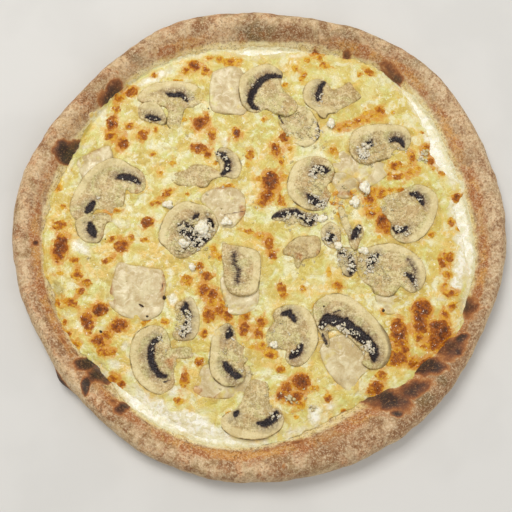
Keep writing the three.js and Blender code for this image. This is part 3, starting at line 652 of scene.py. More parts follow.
def mushroom_material():
    k = Mat("mushroom")
    mid, fine, grain = k.noise(6, 3, 0.55, 0.4), k.noise(2.1, 4, 0.62, 0.3, 3.3), k.noise(1.0, 3, 0.62, 0.2, 8.8)
    # fibres run from the stem out to the crown
    vec = k.t.nodes.new("ShaderNodeCombineXYZ")
    k.put(vec.inputs[0], k.math("MULTIPLY", k.attr("across"), 0.001))
    k.put(vec.inputs[1], k.math("MULTIPLY", k.attr("along"), 0.00028))
    fibre = k.noise(1.3, 3, 0.6, 0.35, 2.0, co=vec.outputs[0])
    band = k.rng(k.math("ADD", k.attr("band"), wob(k, mid, 0.5)), 0.25, 0.85)
    col = k.mix(k.rng(mid, 0.34, 0.66), srgb(228, 207, 148), srgb(190, 163, 105))
    col = k.mix(k.math("MULTIPLY", k.rng(fibre, 0.54, 0.80), 0.40), col, srgb(180, 154, 96))
    col = k.mix(k.math("MULTIPLY", k.rng(fibre, 0.46, 0.20), 0.35), col, srgb(236, 220, 168))
    col = k.mix(k.math("MULTIPLY", k.rng(fine, 0.54, 0.78), 0.58), col, srgb(170, 142, 86))
    col = k.mix(k.math("MULTIPLY", k.rng(fine, 0.46, 0.22), 0.54), col, srgb(244, 228, 182))
    hue = k.noise(8, 3, 0.5, 0.6, 27.0)
    col = k.mix(k.math("MULTIPLY", k.rng(hue, 0.52, 0.76), 0.55), col, srgb(212, 204, 134))
    col = k.mix(k.math("MULTIPLY", k.rng(hue, 0.46, 0.22), 0.50), col, srgb(208, 170, 112))
    # the smooth pale flesh under the crown
    col = k.mix(k.math("MULTIPLY", band, 0.80), col, k.mix(k.rng(mid, 0.35, 0.65), srgb(240, 222, 168), srgb(228, 208, 150)))
    col = k.mix(k.math("MULTIPLY", k.attr("tan"), k.rng(mid, 0.3, 0.7, 0.6, 1.0)), col, k.mix(k.rng(fine, 0.4, 0.6), srgb(196, 162, 94), srgb(168, 132, 70)))
    cheese, _, _, _, _ = cheese_colour(k)
    cover = k.rng(k.math("ADD", k.attr("cover"), k.math("ADD", wob(k, fine, 0.7), wob(k, mid, 0.5))), 0.28, 0.85)
    col = k.mix(k.math("MULTIPLY", cover, 0.80), col, cheese)
    # the brownish band that the gills stain, streaked outwards
    ribs = k.attr("ribs")
    halo = k.math("MULTIPLY", k.attr("halo"), k.rng(k.math("ADD", k.math("MULTIPLY", ribs, 0.45), fibre), 0.40, 1.0, 0.45, 1.1))
    col = k.mix(k.math("MULTIPLY", halo, 0.74), col, srgb(112, 88, 72))
    rest = k.math("SUBTRACT", 1.0, k.math("MULTIPLY", band, 0.65))
    col = k.mix(k.math("MULTIPLY", k.math("MULTIPLY", k.rng(grain, 0.58, 0.82), 0.60), rest), col, srgb(128, 100, 58))
    col = k.mix(k.math("MULTIPLY", k.math("MULTIPLY", k.rng(grain, 0.42, 0.16), 0.50), rest), col, srgb(248, 236, 198))
    toast = k.rng(k.math("ADD", k.attr("toast"), k.math("ADD", wob(k, fine, 0.6), wob(k, mid, 0.5))), 0.35, 1.0)
    col = k.mix(k.math("MULTIPLY", toast, 0.75), col, k.mix(k.rng(fine, 0.4, 0.6), srgb(206, 142, 62), srgb(166, 104, 44)))
    # painted shade over the brown-grey side of the cap along the right edge of slice 15
    rind_and_shade = k.rng(k.attr("rind_and_shade"), 0.25, 0.8)
    col = k.mix(k.math("MULTIPLY", rind_and_shade, 0.8), col, k.mix(k.rng(fine, 0.4, 0.6), srgb(146, 120, 70), srgb(118, 94, 54)))
    # the brown skin along the outline, darkened further as painted shade at the slab's edges
    skin_and_edge_shade = k.rng(k.math("ADD", k.attr("skin_and_edge_shade"), k.math("ADD", wob(k, fine, 0.45), wob(k, mid, 0.4))), 0.30, 0.80)
    col = k.mix(k.math("MULTIPLY", skin_and_edge_shade, 0.82), col, k.mix(k.rng(fine, 0.4, 0.6), srgb(130, 102, 52), srgb(96, 72, 36)))
    g = k.math("ADD", k.attr("gill"), wob(k, fine, 0.7))
    g = k.math("ADD", g, k.math("MULTIPLY", k.math("SUBTRACT", ribs, 0.5), 0.45))
    col = k.mix(k.math("MULTIPLY", k.rng(g, -0.60, 0.05), 0.80), col, srgb(98, 74, 56))
    col = k.mix(k.rng(g, -0.14, 0.38), col, k.mix(k.rng(grain, 0.54, 0.80), srgb(24, 12, 14), srgb(74, 54, 50)))
    n = k.bump(k.math("ADD", k.math("MULTIPLY", fine, 0.8), k.math("MULTIPLY", ribs, k.rng(g, -0.4, 0.2))), 0.55, 1.2)
    n = k.bump(k.math("ADD", grain, k.math("MULTIPLY", fibre, 0.6)), 0.5, 0.65, n)
    return k.done(col, k.rng(fine, 0.3, 0.7, 0.28, 0.50), n, sub=0.06, scale=1.4, radius=(1, 0.75, 0.45), spec=0.40)


def chicken_material():
    k = Mat("chicken")
    mid, fine, grain = k.noise(9, 2, 0.50, 0.7), k.noise(4.2, 3, 0.50, 1.0, 3.3), k.noise(1.05, 3, 0.62, 0.2, 8.8)
    col = k.mix(k.rng(mid, 0.22, 0.78), srgb(204, 180, 128), srgb(230, 214, 168))
    col = k.mix(k.math("MULTIPLY", k.rng(fine, 0.50, 0.84), 0.42), col, srgb(196, 168, 116))
    col = k.mix(k.math("MULTIPLY", k.rng(fine, 0.46, 0.16), 0.46), col, srgb(244, 230, 192))
    col = k.mix(k.math("MULTIPLY", k.rng(grain, 0.60, 0.86), 0.20), col, srgb(172, 144, 96))
    col = k.mix(k.math("MULTIPLY", k.rng(grain, 0.40, 0.16), 0.20), col, srgb(250, 240, 208))
    cheese, _, _, _, _ = cheese_colour(k)
    cover = k.rng(k.math("ADD", k.attr("cover"), k.math("ADD", wob(k, fine, 0.6), wob(k, mid, 0.5))), 0.26, 0.95)
    col = k.mix(k.math("MULTIPLY", cover, 0.80), col, cheese)
    edge = k.rng(k.math("ADD", k.attr("edge"), k.math("ADD", wob(k, fine, 0.6), wob(k, mid, 0.6))), 0.5, 1.0)
    col = k.mix(k.math("MULTIPLY", edge, 0.55), col, srgb(176, 142, 82))
    toast = k.rng(k.math("ADD", k.attr("toast"), k.math("ADD", wob(k, fine, 0.6), wob(k, mid, 0.5))), 0.30, 0.95)
    col = k.mix(k.math("MULTIPLY", toast, 0.80), col, k.mix(k.rng(fine, 0.4, 0.6), srgb(208, 148, 68), srgb(172, 108, 48)))
    # painted shade along the creases
    col = k.mix(k.rng(k.attr("crease"), 0.35, 0.8), col, srgb(112, 78, 44))
    n = k.bump(k.math("ADD", k.math("MULTIPLY", mid, 0.7), k.math("MULTIPLY", fine, 0.6)), 0.55, 1.6)
    n = k.bump(grain, 0.25, 0.4, n)
    return k.done(col, k.rng(fine, 0.3, 0.7, 0.26, 0.42), n, sub=0.08, scale=1.8, radius=(1, 0.75, 0.5), spec=0.38)


def crumb_material(name, a, b, low):
    """a and b: the crumb's own light and shade; low: the colour of what is soaked or thinly spread."""
    k = Mat(name)
    fine, grain = k.noise(1.6, 3, 0.6, 0.3), k.noise(0.7, 3, 0.6, 0, 3.0)
    col = k.mix(k.rng(fine, 0.35, 0.65), a, b)
    col = k.mix(k.rng(k.attr("soak"), 0.2, 0.9), col, low)
    col = k.mix(k.math("MULTIPLY", k.rng(grain, 0.56, 0.84), 0.25), col, tuple(0.72 * v for v in b[:3]) + (1.0,))
    return k.done(col, 0.55, k.bump(grain, 0.6, 0.6), sub=0.10, scale=1.2, spec=0.30)


M_CRUST, M_CHEESE, M_CREAM, M_MUSH, M_CHICK = crust_material(), cheese_material(), cream_material(), mushroom_material(), chicken_material()
M_CRUMB = crumb_material("grated_cheese", srgb(236, 228, 208, 1.0), srgb(212, 198, 168, 1.0), srgb(218, 200, 144))
M_LUMP = crumb_material("hard_cheese", srgb(250, 245, 226, 1.0), srgb(234, 224, 194, 1.0), srgb(222, 204, 148))
M_PEPPER = crumb_material("herb_speck", srgb(58, 44, 34), srgb(84, 62, 40), srgb(84, 62, 40))


# ------------------------------------------------------------------ slices laid on what is there
def slab(name, node, loop, thick, material, relief, attrs, sink=1.0, gap=0.72, edge=1.3, settle=2.2, bury=()):
    global S, HARD
    area = 0.5 * np.sum(loop[:, 0] * np.roll(loop[:, 1], -1) - np.roll(loop[:, 0], -1) * loop[:, 1])
    if area < 0:
        loop = loop[::-1].copy()
    lo, hi = loop.min(0) - 1, loop.max(0) + 1
    nxt, prv = np.roll(loop, -1, 0), np.roll(loop, 1, 0)
    nrm = np.c_[nxt[:, 1] - prv[:, 1], prv[:, 0] - nxt[:, 0]]
    nrm /= np.linalg.norm(nrm, axis=1)[:, None] + 1e-9
    # bed: the surface below, pressed a little into soft cheese and evened out
    bed = S - sink * (1 - HARD)
    x0, y0 = [int((v + GN * CELL / 2) / CELL) - 16 for v in lo]
    x1, y1 = [int((v + GN * CELL / 2) / CELL) + 16 for v in hi]
    x0, y0, x1, y1 = max(0, x0), max(0, y0), min(GN, x1), min(GN, y1)
    part = bed[y0:y1, x0:x1]
    soft = blur(spread(part, 1.2), settle)
    fieldz = np.maximum(soft, part - 0.1)
    full = bed.copy()
    full[y0:y1, x0:x1] = blur(fieldz, 0.7)
    # points: the outline, two rows inside it, then a loose grid
    pts = [loop]
    for inset in (0.28, 0.62):
        q = loop - nrm * inset
        d, _ = to_segments(q, loop)
        pts.append(q[(d > inset * 0.8) & inside(q, loop)][:: 1])
    xs = np.arange(lo[0], hi[0], gap)
    ys = np.arange(lo[1], hi[1], gap * 0.866)
    X, Y = np.meshgrid(xs, ys)
    X = X + (np.arange(len(ys)) % 2)[:, None] * gap / 2
    q = np.c_[X.ravel(), Y.ravel()]
    q = q + rng.uniform(-0.12, 0.12, q.shape)
    q = q[inside(q, loop)]
    d, _ = to_segments(q, loop)
    pts.append(q[d > 0.95])
    n = len(loop)
    P = np.vstack(pts)
    out = delaunay_2d_cdt([tuple(p) for p in P], [(i, (i + 1) % n) for i in range(n)], [], 1, 1e-5)
    V = np.array([tuple(v) for v in out[0]])
    T = np.array(out[2], int)
    origin = {}
    for i, src in enumerate(out[3]):
        for s in src:
            origin[s] = i
    ring = np.array([origin[i] for i in range(n)])
    d, _ = to_segments(V, loop)
    d[ring] = 0
    def sunk(q):
        low = np.zeros(len(q))
        for bx, by, br, bd in bury:
            c = at(bx, by)
            low = np.maximum(low, bd * step(1.25, 0.45, np.hypot(q[:, 0] - c[0], q[:, 1] - c[1]) / (br * PX)))
        return low

    zb = sample(full, V) - sunk(V)
    dome = 0.48 + 0.52 * np.sqrt(np.clip(1 - (1 - np.clip(d / edge, 0, 1)) ** 2, 0, 1))
    fade = np.clip(d / 0.8, 0, 1)
    zt = zb + thick * dome + relief(V, d) * fade
    nV = len(V)
    top = np.c_[V, zt]
    bottom = np.c_[V, zb]
    bottom[ring, :2] -= nrm * 0.25
    mid = np.c_[loop + nrm * 0.14, zb[ring] + 0.30 * thick]
    verts = np.vstack([top, bottom, mid])
    a, b = ring, np.roll(ring, -1)
    m = 2 * nV + np.arange(n)
    mb = np.roll(m, -1)
    sides = np.vstack([np.c_[a, m, mb, b], np.c_[m, nV + a, nV + b, mb]])
    at_top = attrs(V, d)
    at_mid = attrs(loop, np.zeros(n))
    merged = {key: np.concatenate([at_top[key], at_top[key], at_mid[key]]) for key in at_top}
    ob = add_mesh(name, verts, [T, (nV + T)[:, ::-1], sides], material, merged)
    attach(ob, "root")
    if node:
        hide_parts(node)
    # what comes later rests on this
    cells = np.c_[GX[y0:y1, x0:x1].ravel(), GY[y0:y1, x0:x1].ravel()]
    isin = inside(cells, loop)
    dd = np.zeros(len(cells))
    dd[isin] = to_segments(cells[isin], loop)[0]
    zz = sample(full, cells) - sunk(cells) + thick * (0.48 + 0.52 * np.sqrt(np.clip(1 - (1 - np.clip(dd / edge, 0, 1)) ** 2, 0, 1)))
    isin = isin.reshape(y1 - y0, x1 - x0)
    zz = zz.reshape(isin.shape)
    w = S[y0:y1, x0:x1]
    w[isin] = np.maximum(w[isin], zz[isin])
    HARD[y0:y1, x0:x1][isin] = 1 - 0.8 * np.clip(sunk(cells[isin.ravel()]) / 1.3, 0, 1)
    return ob


# Mushroom slices, in pixels of the photograph: the outline, the side its crown faces (degrees), gills as lines with a width and a darkness,
# and what is buried in cheese (x, y, radius, depth in mm)
MUSHROOMS = {
    1: dict(crown=118, line=[(75, 219), (70.5, 214), (69.3, 206), (72, 197), (77, 187), (84, 177), (94, 167.5), (104, 161.5), (114, 158), (123, 160), (131, 165), (139, 169), (144.5, 176), (146, 184), (144, 190), (138, 193.5), (131, 193.5), (126, 189.5), (125, 198), (122, 209), (114, 214), (107, 212), (101, 210), (96, 210), (90, 216), (82, 219.5)],
            gills=[([(117, 177.5), (124, 176.5), (133, 179), (139.5, 183)], 6.5, 1), ([(94, 202), (90, 208), (86.5, 212)], 7, 1)], bury=[(119, 214, 9, 1.3), (105, 212, 6, 0.8)]),
    2: dict(crown=205, line=[(75.7, 221), (75.7, 228.6), (78, 235.7), (84.3, 241.4), (93, 243.6), (100, 241.5), (103.5, 236), (104.5, 229), (107, 223), (113, 221.5), (110.5, 215.5), (103, 212.5), (95, 214), (86, 216)], gills=[([(90.5, 223), (91.4, 230), (94.5, 236.4)], 7.5, 1)], bury=[(114, 219, 6, 0.8)]),
    3: dict(crown=92, line=[(137, 97), (143, 89), (152, 83.5), (164, 81), (176, 80.5), (188, 82), (198, 86), (204, 94), (201, 102), (193, 107), (185, 109), (183, 116), (181, 125), (177, 131), (170, 129), (166, 122), (168, 112), (164, 107), (150, 104), (140, 102)],
            gills=[([(167, 94), (174, 95), (181, 94.5), (185.5, 98.5), (187, 101)], 5.5, 0.95)], bury=[(203, 95, 9, 1.2), (174, 130, 7, 0.9)], cover=0.45),
    4: dict(crown=72, line=[(137, 112), (139, 106), (146, 102.5), (154, 103), (161, 107), (165, 114), (166.5, 122), (162, 125), (154, 122.5), (146, 121), (140, 118)], gills=[([(146, 116.5), (152, 117.5), (160, 119.3)], 5.5, 1)], bury=[(139, 112, 5, 0.8)], cover=0.2),
    5: dict(crown=130, line=[(281, 70), (283, 76), (281, 83), (284, 90), (291, 96), (297, 104), (296, 112), (287, 117), (276, 114), (266, 110), (258, 113), (249, 111.5), (242, 105), (239, 95), (239, 84), (242, 76), (250, 69), (261, 64.3), (270, 63.5)],
            gills=[([(281, 77), (274, 76), (266, 77), (260, 82), (255, 89), (251.5, 96), (250, 103), (253.5, 108), (258, 109)], 6.5, 1)], bury=[(294, 112, 9, 1.0)], cover=0.1),
    6: dict(crown=330, line=[(278, 112), (284, 107), (296, 104), (308, 108), (316, 118), (320, 130), (317, 141), (305, 147), (294, 143), (286, 135), (279, 123)], gills=[([(317, 123), (319.5, 131), (317, 140)], 2.4, 0.65), ([(280, 104), (279, 116), (283, 124)], 2, 0.62)], bury=[(292, 141, 10, 1.0), (279, 116, 6, 0.8)], cover=0.5),
    7: dict(crown=10, line=[(217, 151), (222, 147), (231, 150), (238.5, 157), (242, 166), (240, 175), (234, 179), (224, 177), (212, 180), (206, 187), (192, 187), (178, 185), (170, 180), (172, 174), (184, 170), (194, 164.5), (205, 164.5), (214, 168), (220, 171), (218.5, 162), (215.5, 156)],
            gills=[([(217, 152.5), (223.5, 155.5), (227.5, 162.5), (228, 169), (222, 174.5)], 6, 1)], bury=[(170, 179, 9, 1.3), (195, 188, 6, 0.6)], tan=0.35, cover=0.25),
    8: dict(crown=132, line=[(159, 241.4), (158.6, 233), (161.4, 223), (167, 213), (175.7, 204.5), (187, 200.7), (197, 203.6), (207, 207), (214.3, 214.3), (218, 224.3), (215.7, 233), (208.6, 241.4), (200, 250), (188.6, 257), (178.6, 258), (171.4, 254.3), (165.7, 248)],
            gills=[([(192, 235), (196, 243), (201, 243)], 9, 1), ([(202, 241), (208, 237.5)], 6, 1), ([(208, 219), (213, 227)], 5, 0.85), ([(186, 226), (184, 231)], 4.5, 0.8), ([(193, 219), (199, 214)], 4, 0.75), ([(184, 228), (196, 236), (204, 236)], 24, 0.36), ([(180, 250), (192, 249)], 12, 0.34)]),
    9: dict(crown=10, line=[(223, 241.5), (229, 244.3), (240, 245.7), (253, 248.6), (260, 254.3), (261, 270), (258.6, 287), (253, 294), (244, 296.4), (235.7, 295.7), (228.6, 291.4), (224.3, 281.4), (223.5, 270), (221.5, 255.7)], gills=[([(234, 254), (234, 262), (238, 270), (237.5, 282)], 14, 0.34)], bury=[(222, 285, 7, 0.6)]),
    10: dict(crown=5, line=[(183, 299), (189, 295), (195, 301), (199, 311), (200, 322), (198, 333), (192, 340), (183, 341), (174, 339), (172, 330), (176, 318), (175, 306)], gills=[([(186, 304), (184.5, 308.5), (187.5, 314), (190.5, 317.5)], 7, 1), ([(187, 322), (186, 329), (182, 336.5)], 7, 1)], bury=[(173, 322, 11, 1.4), (186, 296, 6, 0.8)], cover=0.2),
    11: dict(crown=185, line=[(130, 361.5), (129.3, 353), (132, 340), (138.6, 330.7), (148.6, 325.7), (160, 325.7), (167, 331.4), (170, 340), (172, 348), (180, 347), (190, 347), (194, 351.5), (193.5, 356), (188.6, 358.8), (177, 359), (176.8, 364), (174, 370), (174.5, 377), (175, 383), (170, 390), (161.4, 394.5), (153, 393), (141.4, 386), (133, 374.5)],
             gills=[([(160, 337.5), (154.3, 341.4), (151, 348.6), (151, 358.6), (154.5, 368.6), (160, 375.5), (167, 376)], 6.2, 1), ([(163, 382), (170, 380.5)], 2, 0.7)], bury=[(192, 353, 5, 0.5)]),
    12: dict(crown=185, line=[(213, 333), (219, 327), (228, 323), (234, 328), (236, 337), (240, 344), (249, 349), (249, 358), (243.5, 365), (246, 374), (242, 382.5), (233, 387), (222, 385), (213, 378), (209, 365), (210, 348)], gills=[([(230, 328.5), (229.3, 334.3), (227, 338.6)], 5.5, 1), ([(224, 363), (229.5, 369.5), (234, 375.5), (241, 376.5)], 7, 1)], bury=[(249, 353, 8, 0.9), (214, 330, 8, 0.8)], cover=0.25),
    13: dict(crown=265, line=[(219, 420), (225, 414), (235, 409), (241, 402), (245, 391), (251, 380), (262, 379.5), (268, 385), (269, 398), (271, 407), (279, 408.5), (283, 414), (284.5, 421), (281, 429), (273, 435), (261, 439.5), (246, 439.5), (232, 436), (222, 429)], gills=[([(258, 423), (264, 423.5), (270, 421.5), (275, 417.5), (277, 411.5)], 6.5, 1), ([(234, 416), (238, 411)], 5, 0.85)], bury=[(256, 379, 9, 0.9), (218, 421, 7, 0.7)]),
    14: dict(crown=15, line=[(273, 315), (276, 309), (284, 305.5), (296, 304.5), (307, 309), (314, 318), (318, 329), (318, 342), (313, 354), (306, 362.5), (298, 366.5), (290, 364.5), (285, 358), (286, 351), (277, 350), (268, 346), (266, 338), (268, 329), (274, 322)], gills=[([(282, 313.8), (288.6, 313.2), (292.8, 317), (295, 322)], 6, 1), ([(302, 345), (297.5, 352.5), (290, 358)], 6.5, 1)], bury=[(266, 338, 8, 0.8), (276, 350, 7, 0.6)], cover=0.3),
    15: dict(crown=48, line=[(313, 312), (314, 304), (320, 298.5), (331, 293.5), (343, 294), (356, 300.5), (368, 311), (379, 322), (387, 333), (391.5, 346), (390, 358.5), (384, 366.5), (375.5, 369.5), (367, 368), (361.5, 363), (364, 357), (362, 351), (355, 344), (347, 336.5), (338, 331), (329, 331.5), (329, 339), (329, 344), (327, 347.5), (323.5, 341), (320, 334), (316, 324)],
             gills=[([(321.5, 326.5), (326, 319), (334, 321), (343, 322.5), (351.5, 329), (360, 336), (368, 342.5), (374, 350.5), (373.5, 359)], 11.5, 1), ([(322, 334), (327, 345)], 2.6, 0.8), ([(326, 315), (333, 313), (341, 310)], 1.6, 0.62)], shade=1),
    16: dict(crown=55, line=[(361, 253), (367, 247.5), (379, 244), (394, 243), (407, 248), (419, 256.5), (425.5, 268), (426, 279), (421.5, 288.5), (414, 293), (407, 291), (401, 287), (396, 292), (388, 297), (375, 294), (371, 287), (362, 281), (357, 272), (358, 261)],
             gills=[([(378, 255), (371, 261), (368.5, 269)], 6.5, 0.95), ([(405.7, 274), (410.7, 276.4), (413.6, 281.4)], 5, 1), ([(409, 260), (415, 271), (415, 287)], 11, 0.42)], bury=[(380, 296, 9, 0.6), (359, 275, 8, 0.7)], cover=0.34),
    17: dict(crown=180, line=[(287, 185), (289, 175), (293, 166), (300, 159.5), (310, 156), (321, 156.5), (330, 162), (334, 171), (332, 180), (327.5, 187), (331, 195), (327, 204), (321, 210), (311, 210.5), (301, 207), (293, 201), (288, 194)], gills=[([(313.5, 174), (316, 169.5), (322, 169), (328, 171.5)], 8, 1), ([(308, 195.5), (312.5, 200), (318, 204), (323.5, 203)], 7, 1)], bury=[(333, 188, 7, 0.6)], cover=0.30),
    18: dict(crown=350, line=[(408, 187), (417, 184), (427, 186.5), (435.5, 193), (438.5, 202), (437, 213), (433, 224), (427, 233), (419, 240.5), (410, 243), (401, 242.5), (394, 238), (390.5, 232), (391, 224), (386, 217), (381, 211), (380, 203), (384, 197), (394, 193), (402, 191)], gills=[([(410.5, 194), (415.5, 194.3), (420.5, 198.6), (422.5, 204.5)], 5.5, 1), ([(393, 227.5), (397, 231), (403, 230), (407.5, 227)], 5, 1)], bury=[(380, 205, 9, 1.0)], cover=0.28),
    19: dict(crown=96, line=[(350, 153), (349.3, 143), (352, 133), (360, 127), (373, 124.3), (390, 123.6), (401.4, 125), (408.6, 130), (411.4, 138.6), (409, 147), (403, 151), (396, 150), (392, 154.3), (390, 158), (378.6, 161), (373, 163), (368.6, 165), (361.4, 164.3), (354.3, 160)], gills=[([(390, 141), (395.7, 138.5), (401, 141.4), (403.2, 146.5)], 6, 1), ([(371, 142), (368, 147)], 7, 1), ([(362.5, 151), (361.5, 155.7), (365, 159)], 5.5, 1)], cover=0.28),
    20: dict(crown=200, line=[(302.9, 97), (303, 90), (307, 83), (315.7, 78.6), (324.3, 80.2), (329, 84.3), (331.4, 88.6), (335.7, 89.3), (341.4, 86.4), (350, 82), (354.3, 88), (361.4, 95.7), (358.6, 100), (348.6, 105.7), (340, 110), (335.7, 113.6), (328.6, 114.3), (325.7, 118.6), (320, 117.9), (315, 111), (306, 104.5)], gills=[([(324, 82.5), (320.5, 87), (318, 94.3), (318, 101.4)], 5.5, 1)], bury=[(358, 97, 6, 0.4), (312, 108, 7, 0.5)], tan=0.3),
    21: dict(crown=92, line=[(271, 218), (276, 212), (284, 208), (294, 207), (302, 210), (310, 213), (318, 213), (319, 219), (313, 226), (304, 227), (297, 222), (293, 225), (284, 222), (276, 221)], gills=[([(272, 217), (280, 215), (287, 213.5), (295, 212), (301, 216), (306, 220), (310, 223.5), (316, 217)], 6, 1)], bury=[(283, 223, 7, 0.7)]),
    22: dict(crown=80, line=[(283.6, 254.3), (283.6, 250), (288.6, 243), (297, 237), (307, 235.7), (317, 236), (321, 243), (320, 252.5), (315.7, 257), (308.6, 258.6), (303, 260), (298.6, 268.6), (295, 265.7), (294, 258.6), (288.6, 255.7)], gills=[], tan=0.8),
    23: dict(crown=120, line=[(322, 228), (330, 222), (338, 226), (341, 236), (339, 246), (332, 249), (325, 244), (321, 236)], gills=[([(328.5, 234.5), (331, 241)], 9, 1)], bury=[(334, 248, 6, 0.6)]),
    24: dict(crown=150, line=[(338, 208), (343, 207), (349, 221), (353, 229), (358, 223.5), (363, 227), (364, 235), (360, 242), (357, 250), (351, 248), (347, 236), (341, 222)], gills=[([(359.5, 227.5), (355.5, 233.5), (353.5, 238.5)], 7, 1)]),
    25: dict(crown=190, line=[(337, 252), (344, 247), (353, 250), (358, 260), (357, 270), (351, 277), (343, 274), (339, 264)], gills=[([(340.5, 254), (344, 253)], 7, 1), ([(350, 256), (352, 263), (353, 270), (350.5, 274)], 5.5, 1)], bury=[(340, 268, 6, 0.6)]),
}
LAID = [22, 21, 6, 5, 20, 3, 4, 7, 8, 9, 10, 13, 12, 11, 14, 15, 24, 25, 23, 17, 16, 18, 19, 1, 2]
CHICKEN = {
    1: [(76, 161), (87, 153.5), (107, 145), (111, 149), (113, 158), (100, 174), (86, 182), (79, 172)],
    2: [(118, 262), (130, 264.5), (146, 266.5), (162, 270.5), (166, 283), (165, 298), (162, 312), (150, 320), (136, 320), (120, 315), (107, 303), (108.5, 294), (114, 274)],
    3: [(211, 76), (216, 70), (238, 67), (250, 88), (246, 113), (230, 114), (214, 112), (209, 100)],
    4: [(200, 199), (206, 192), (214, 188), (232, 187), (243, 193), (246, 203), (245.5, 213), (240, 220), (232, 228), (221, 227), (214, 222), (206, 210)],
    5: [(222, 276), (257, 284), (257, 306), (247, 313), (236, 315), (226, 312), (223, 298)],
    6: [(207, 364), (198, 376), (193, 390), (200, 396), (215, 399), (232, 398), (246, 393), (251, 382), (246, 364)],
    7: [(321, 345), (345, 334), (366, 350), (369, 368), (360, 378), (351, 391), (344, 389), (333, 379), (324, 365)],
    8: [(374, 288), (390, 295), (408, 294), (404, 306), (393, 314), (380, 310)],
    9: [(333, 158), (345, 150), (362, 160), (386, 163), (389, 173), (370, 187), (352, 182), (335, 173)],
    10: [(331, 176), (341, 173), (349, 175.5), (358, 182), (362, 190), (350, 198), (336, 196)],
}
# Browned bits on chicken (pixels) and dark creases, painted as shade in the folds
TOASTED = px_spots([(222, 186, 22, 9), (197, 392, 10, 14, 30), (208, 398, 20, 6), (163, 290, 5, 26), (110, 290, 6, 34, 10), (243, 212, 8, 16), (224, 305, 5, 12), (337, 200, 10, 6), (345, 194, 18, 6), (92, 153, 20, 3, 35), (362, 186, 10, 8), (60, 172, 6, 6)])
TOASTED_M = px_spots([(137, 192, 10, 4, 10), (333, 182, 7, 8), (336, 176, 8, 6), (326, 192, 5, 14), (340, 95, 3, 16, 20), (372, 200, 14, 14), (381, 193, 10, 9), (171, 361, 9, 14), (168, 350, 5, 8), (121, 209, 8, 3), (215, 170, 8, 5), (300, 258, 8, 12), (318, 252, 6, 8), (290, 254, 10, 4)])
# How far each pale slice is covered by cheese, and where it sinks into it (x, y, radius, depth in mm)
SOAKED = {6: 0.15, 8: 0.3, 9: 0.45, 10: 0.4, 5: 0.1, 7: 0.05}
SUNK = {1: [(78, 164, 9, 0.9)], 4: [(204, 212, 7, 0.9), (222, 227, 8, 0.7)], 5: [(224, 306, 7, 0.9), (254, 308, 6, 0.7)], 6: [(196, 380, 8, 0.9), (240, 396, 9, 1.0)], 7: [(346, 388, 9, 0.8)], 8: [(400, 304, 9, 1.2), (378, 308, 7, 1.0)], 9: [(338, 158, 9, 1.2), (388, 168, 9, 1.3), (352, 184, 8, 1.1)], 10: [(332, 192, 8, 1.2), (356, 192, 8, 1.1)], 2: [(110, 300, 7, 0.7), (134, 320, 8, 0.7)]}
CREASES = [[(224, 215), (234, 213), (245, 211)], [(139, 304), (142, 308)], [(163, 296), (164, 300)]]


for i, corners in CHICKEN.items():
    loop = smooth_loop(at([c[0] for c in corners], [c[1] for c in corners]), 0.85)
    loop = loop + 0.35 * np.c_[noise(loop, 5, 30 + i), noise(loop, 5, 60 + i)]

    def relief(V, d, i=i):
        return 0.42 * noise(V, 9, 80 + i) + 0.24 * noise(V * np.array([1.0, 0.55]), 3.6, 90 + i) + 0.07 * noise(V, 1.7, 95 + i)

    def attrs(V, d, i=i):
        toast, _ = spots_field(V, TOASTED, 3, 0.8, 21)
        crease = np.zeros(len(V))
        for line in CREASES:
            q, _ = to_segments(V, at([p[0] for p in line], [p[1] for p in line]), False)
            crease = np.maximum(crease, 1 - q / 0.8)
        cover = np.clip(1.0 * noise(V, 8, 70 + i) + 0.5 * noise(V, 3.5, 75 + i) + 0.45 * (1 - np.clip(d / 3.5, 0, 1)) - 0.20 + SOAKED.get(i, 0), 0, 1)
        return dict(toast=np.clip(toast * 0.6 + 0.5, 0, 1.2), edge=1 - np.clip(d / 0.9, 0, 1), crease=crease, cover=cover)

    slab(f"chicken_slice_{i:02d}", f"chicken_{i:02d}", loop, 2.5, M_CHICK, relief, attrs, gap=0.9, settle=2.6, sink=1.1, bury=SUNK.get(i, ()))

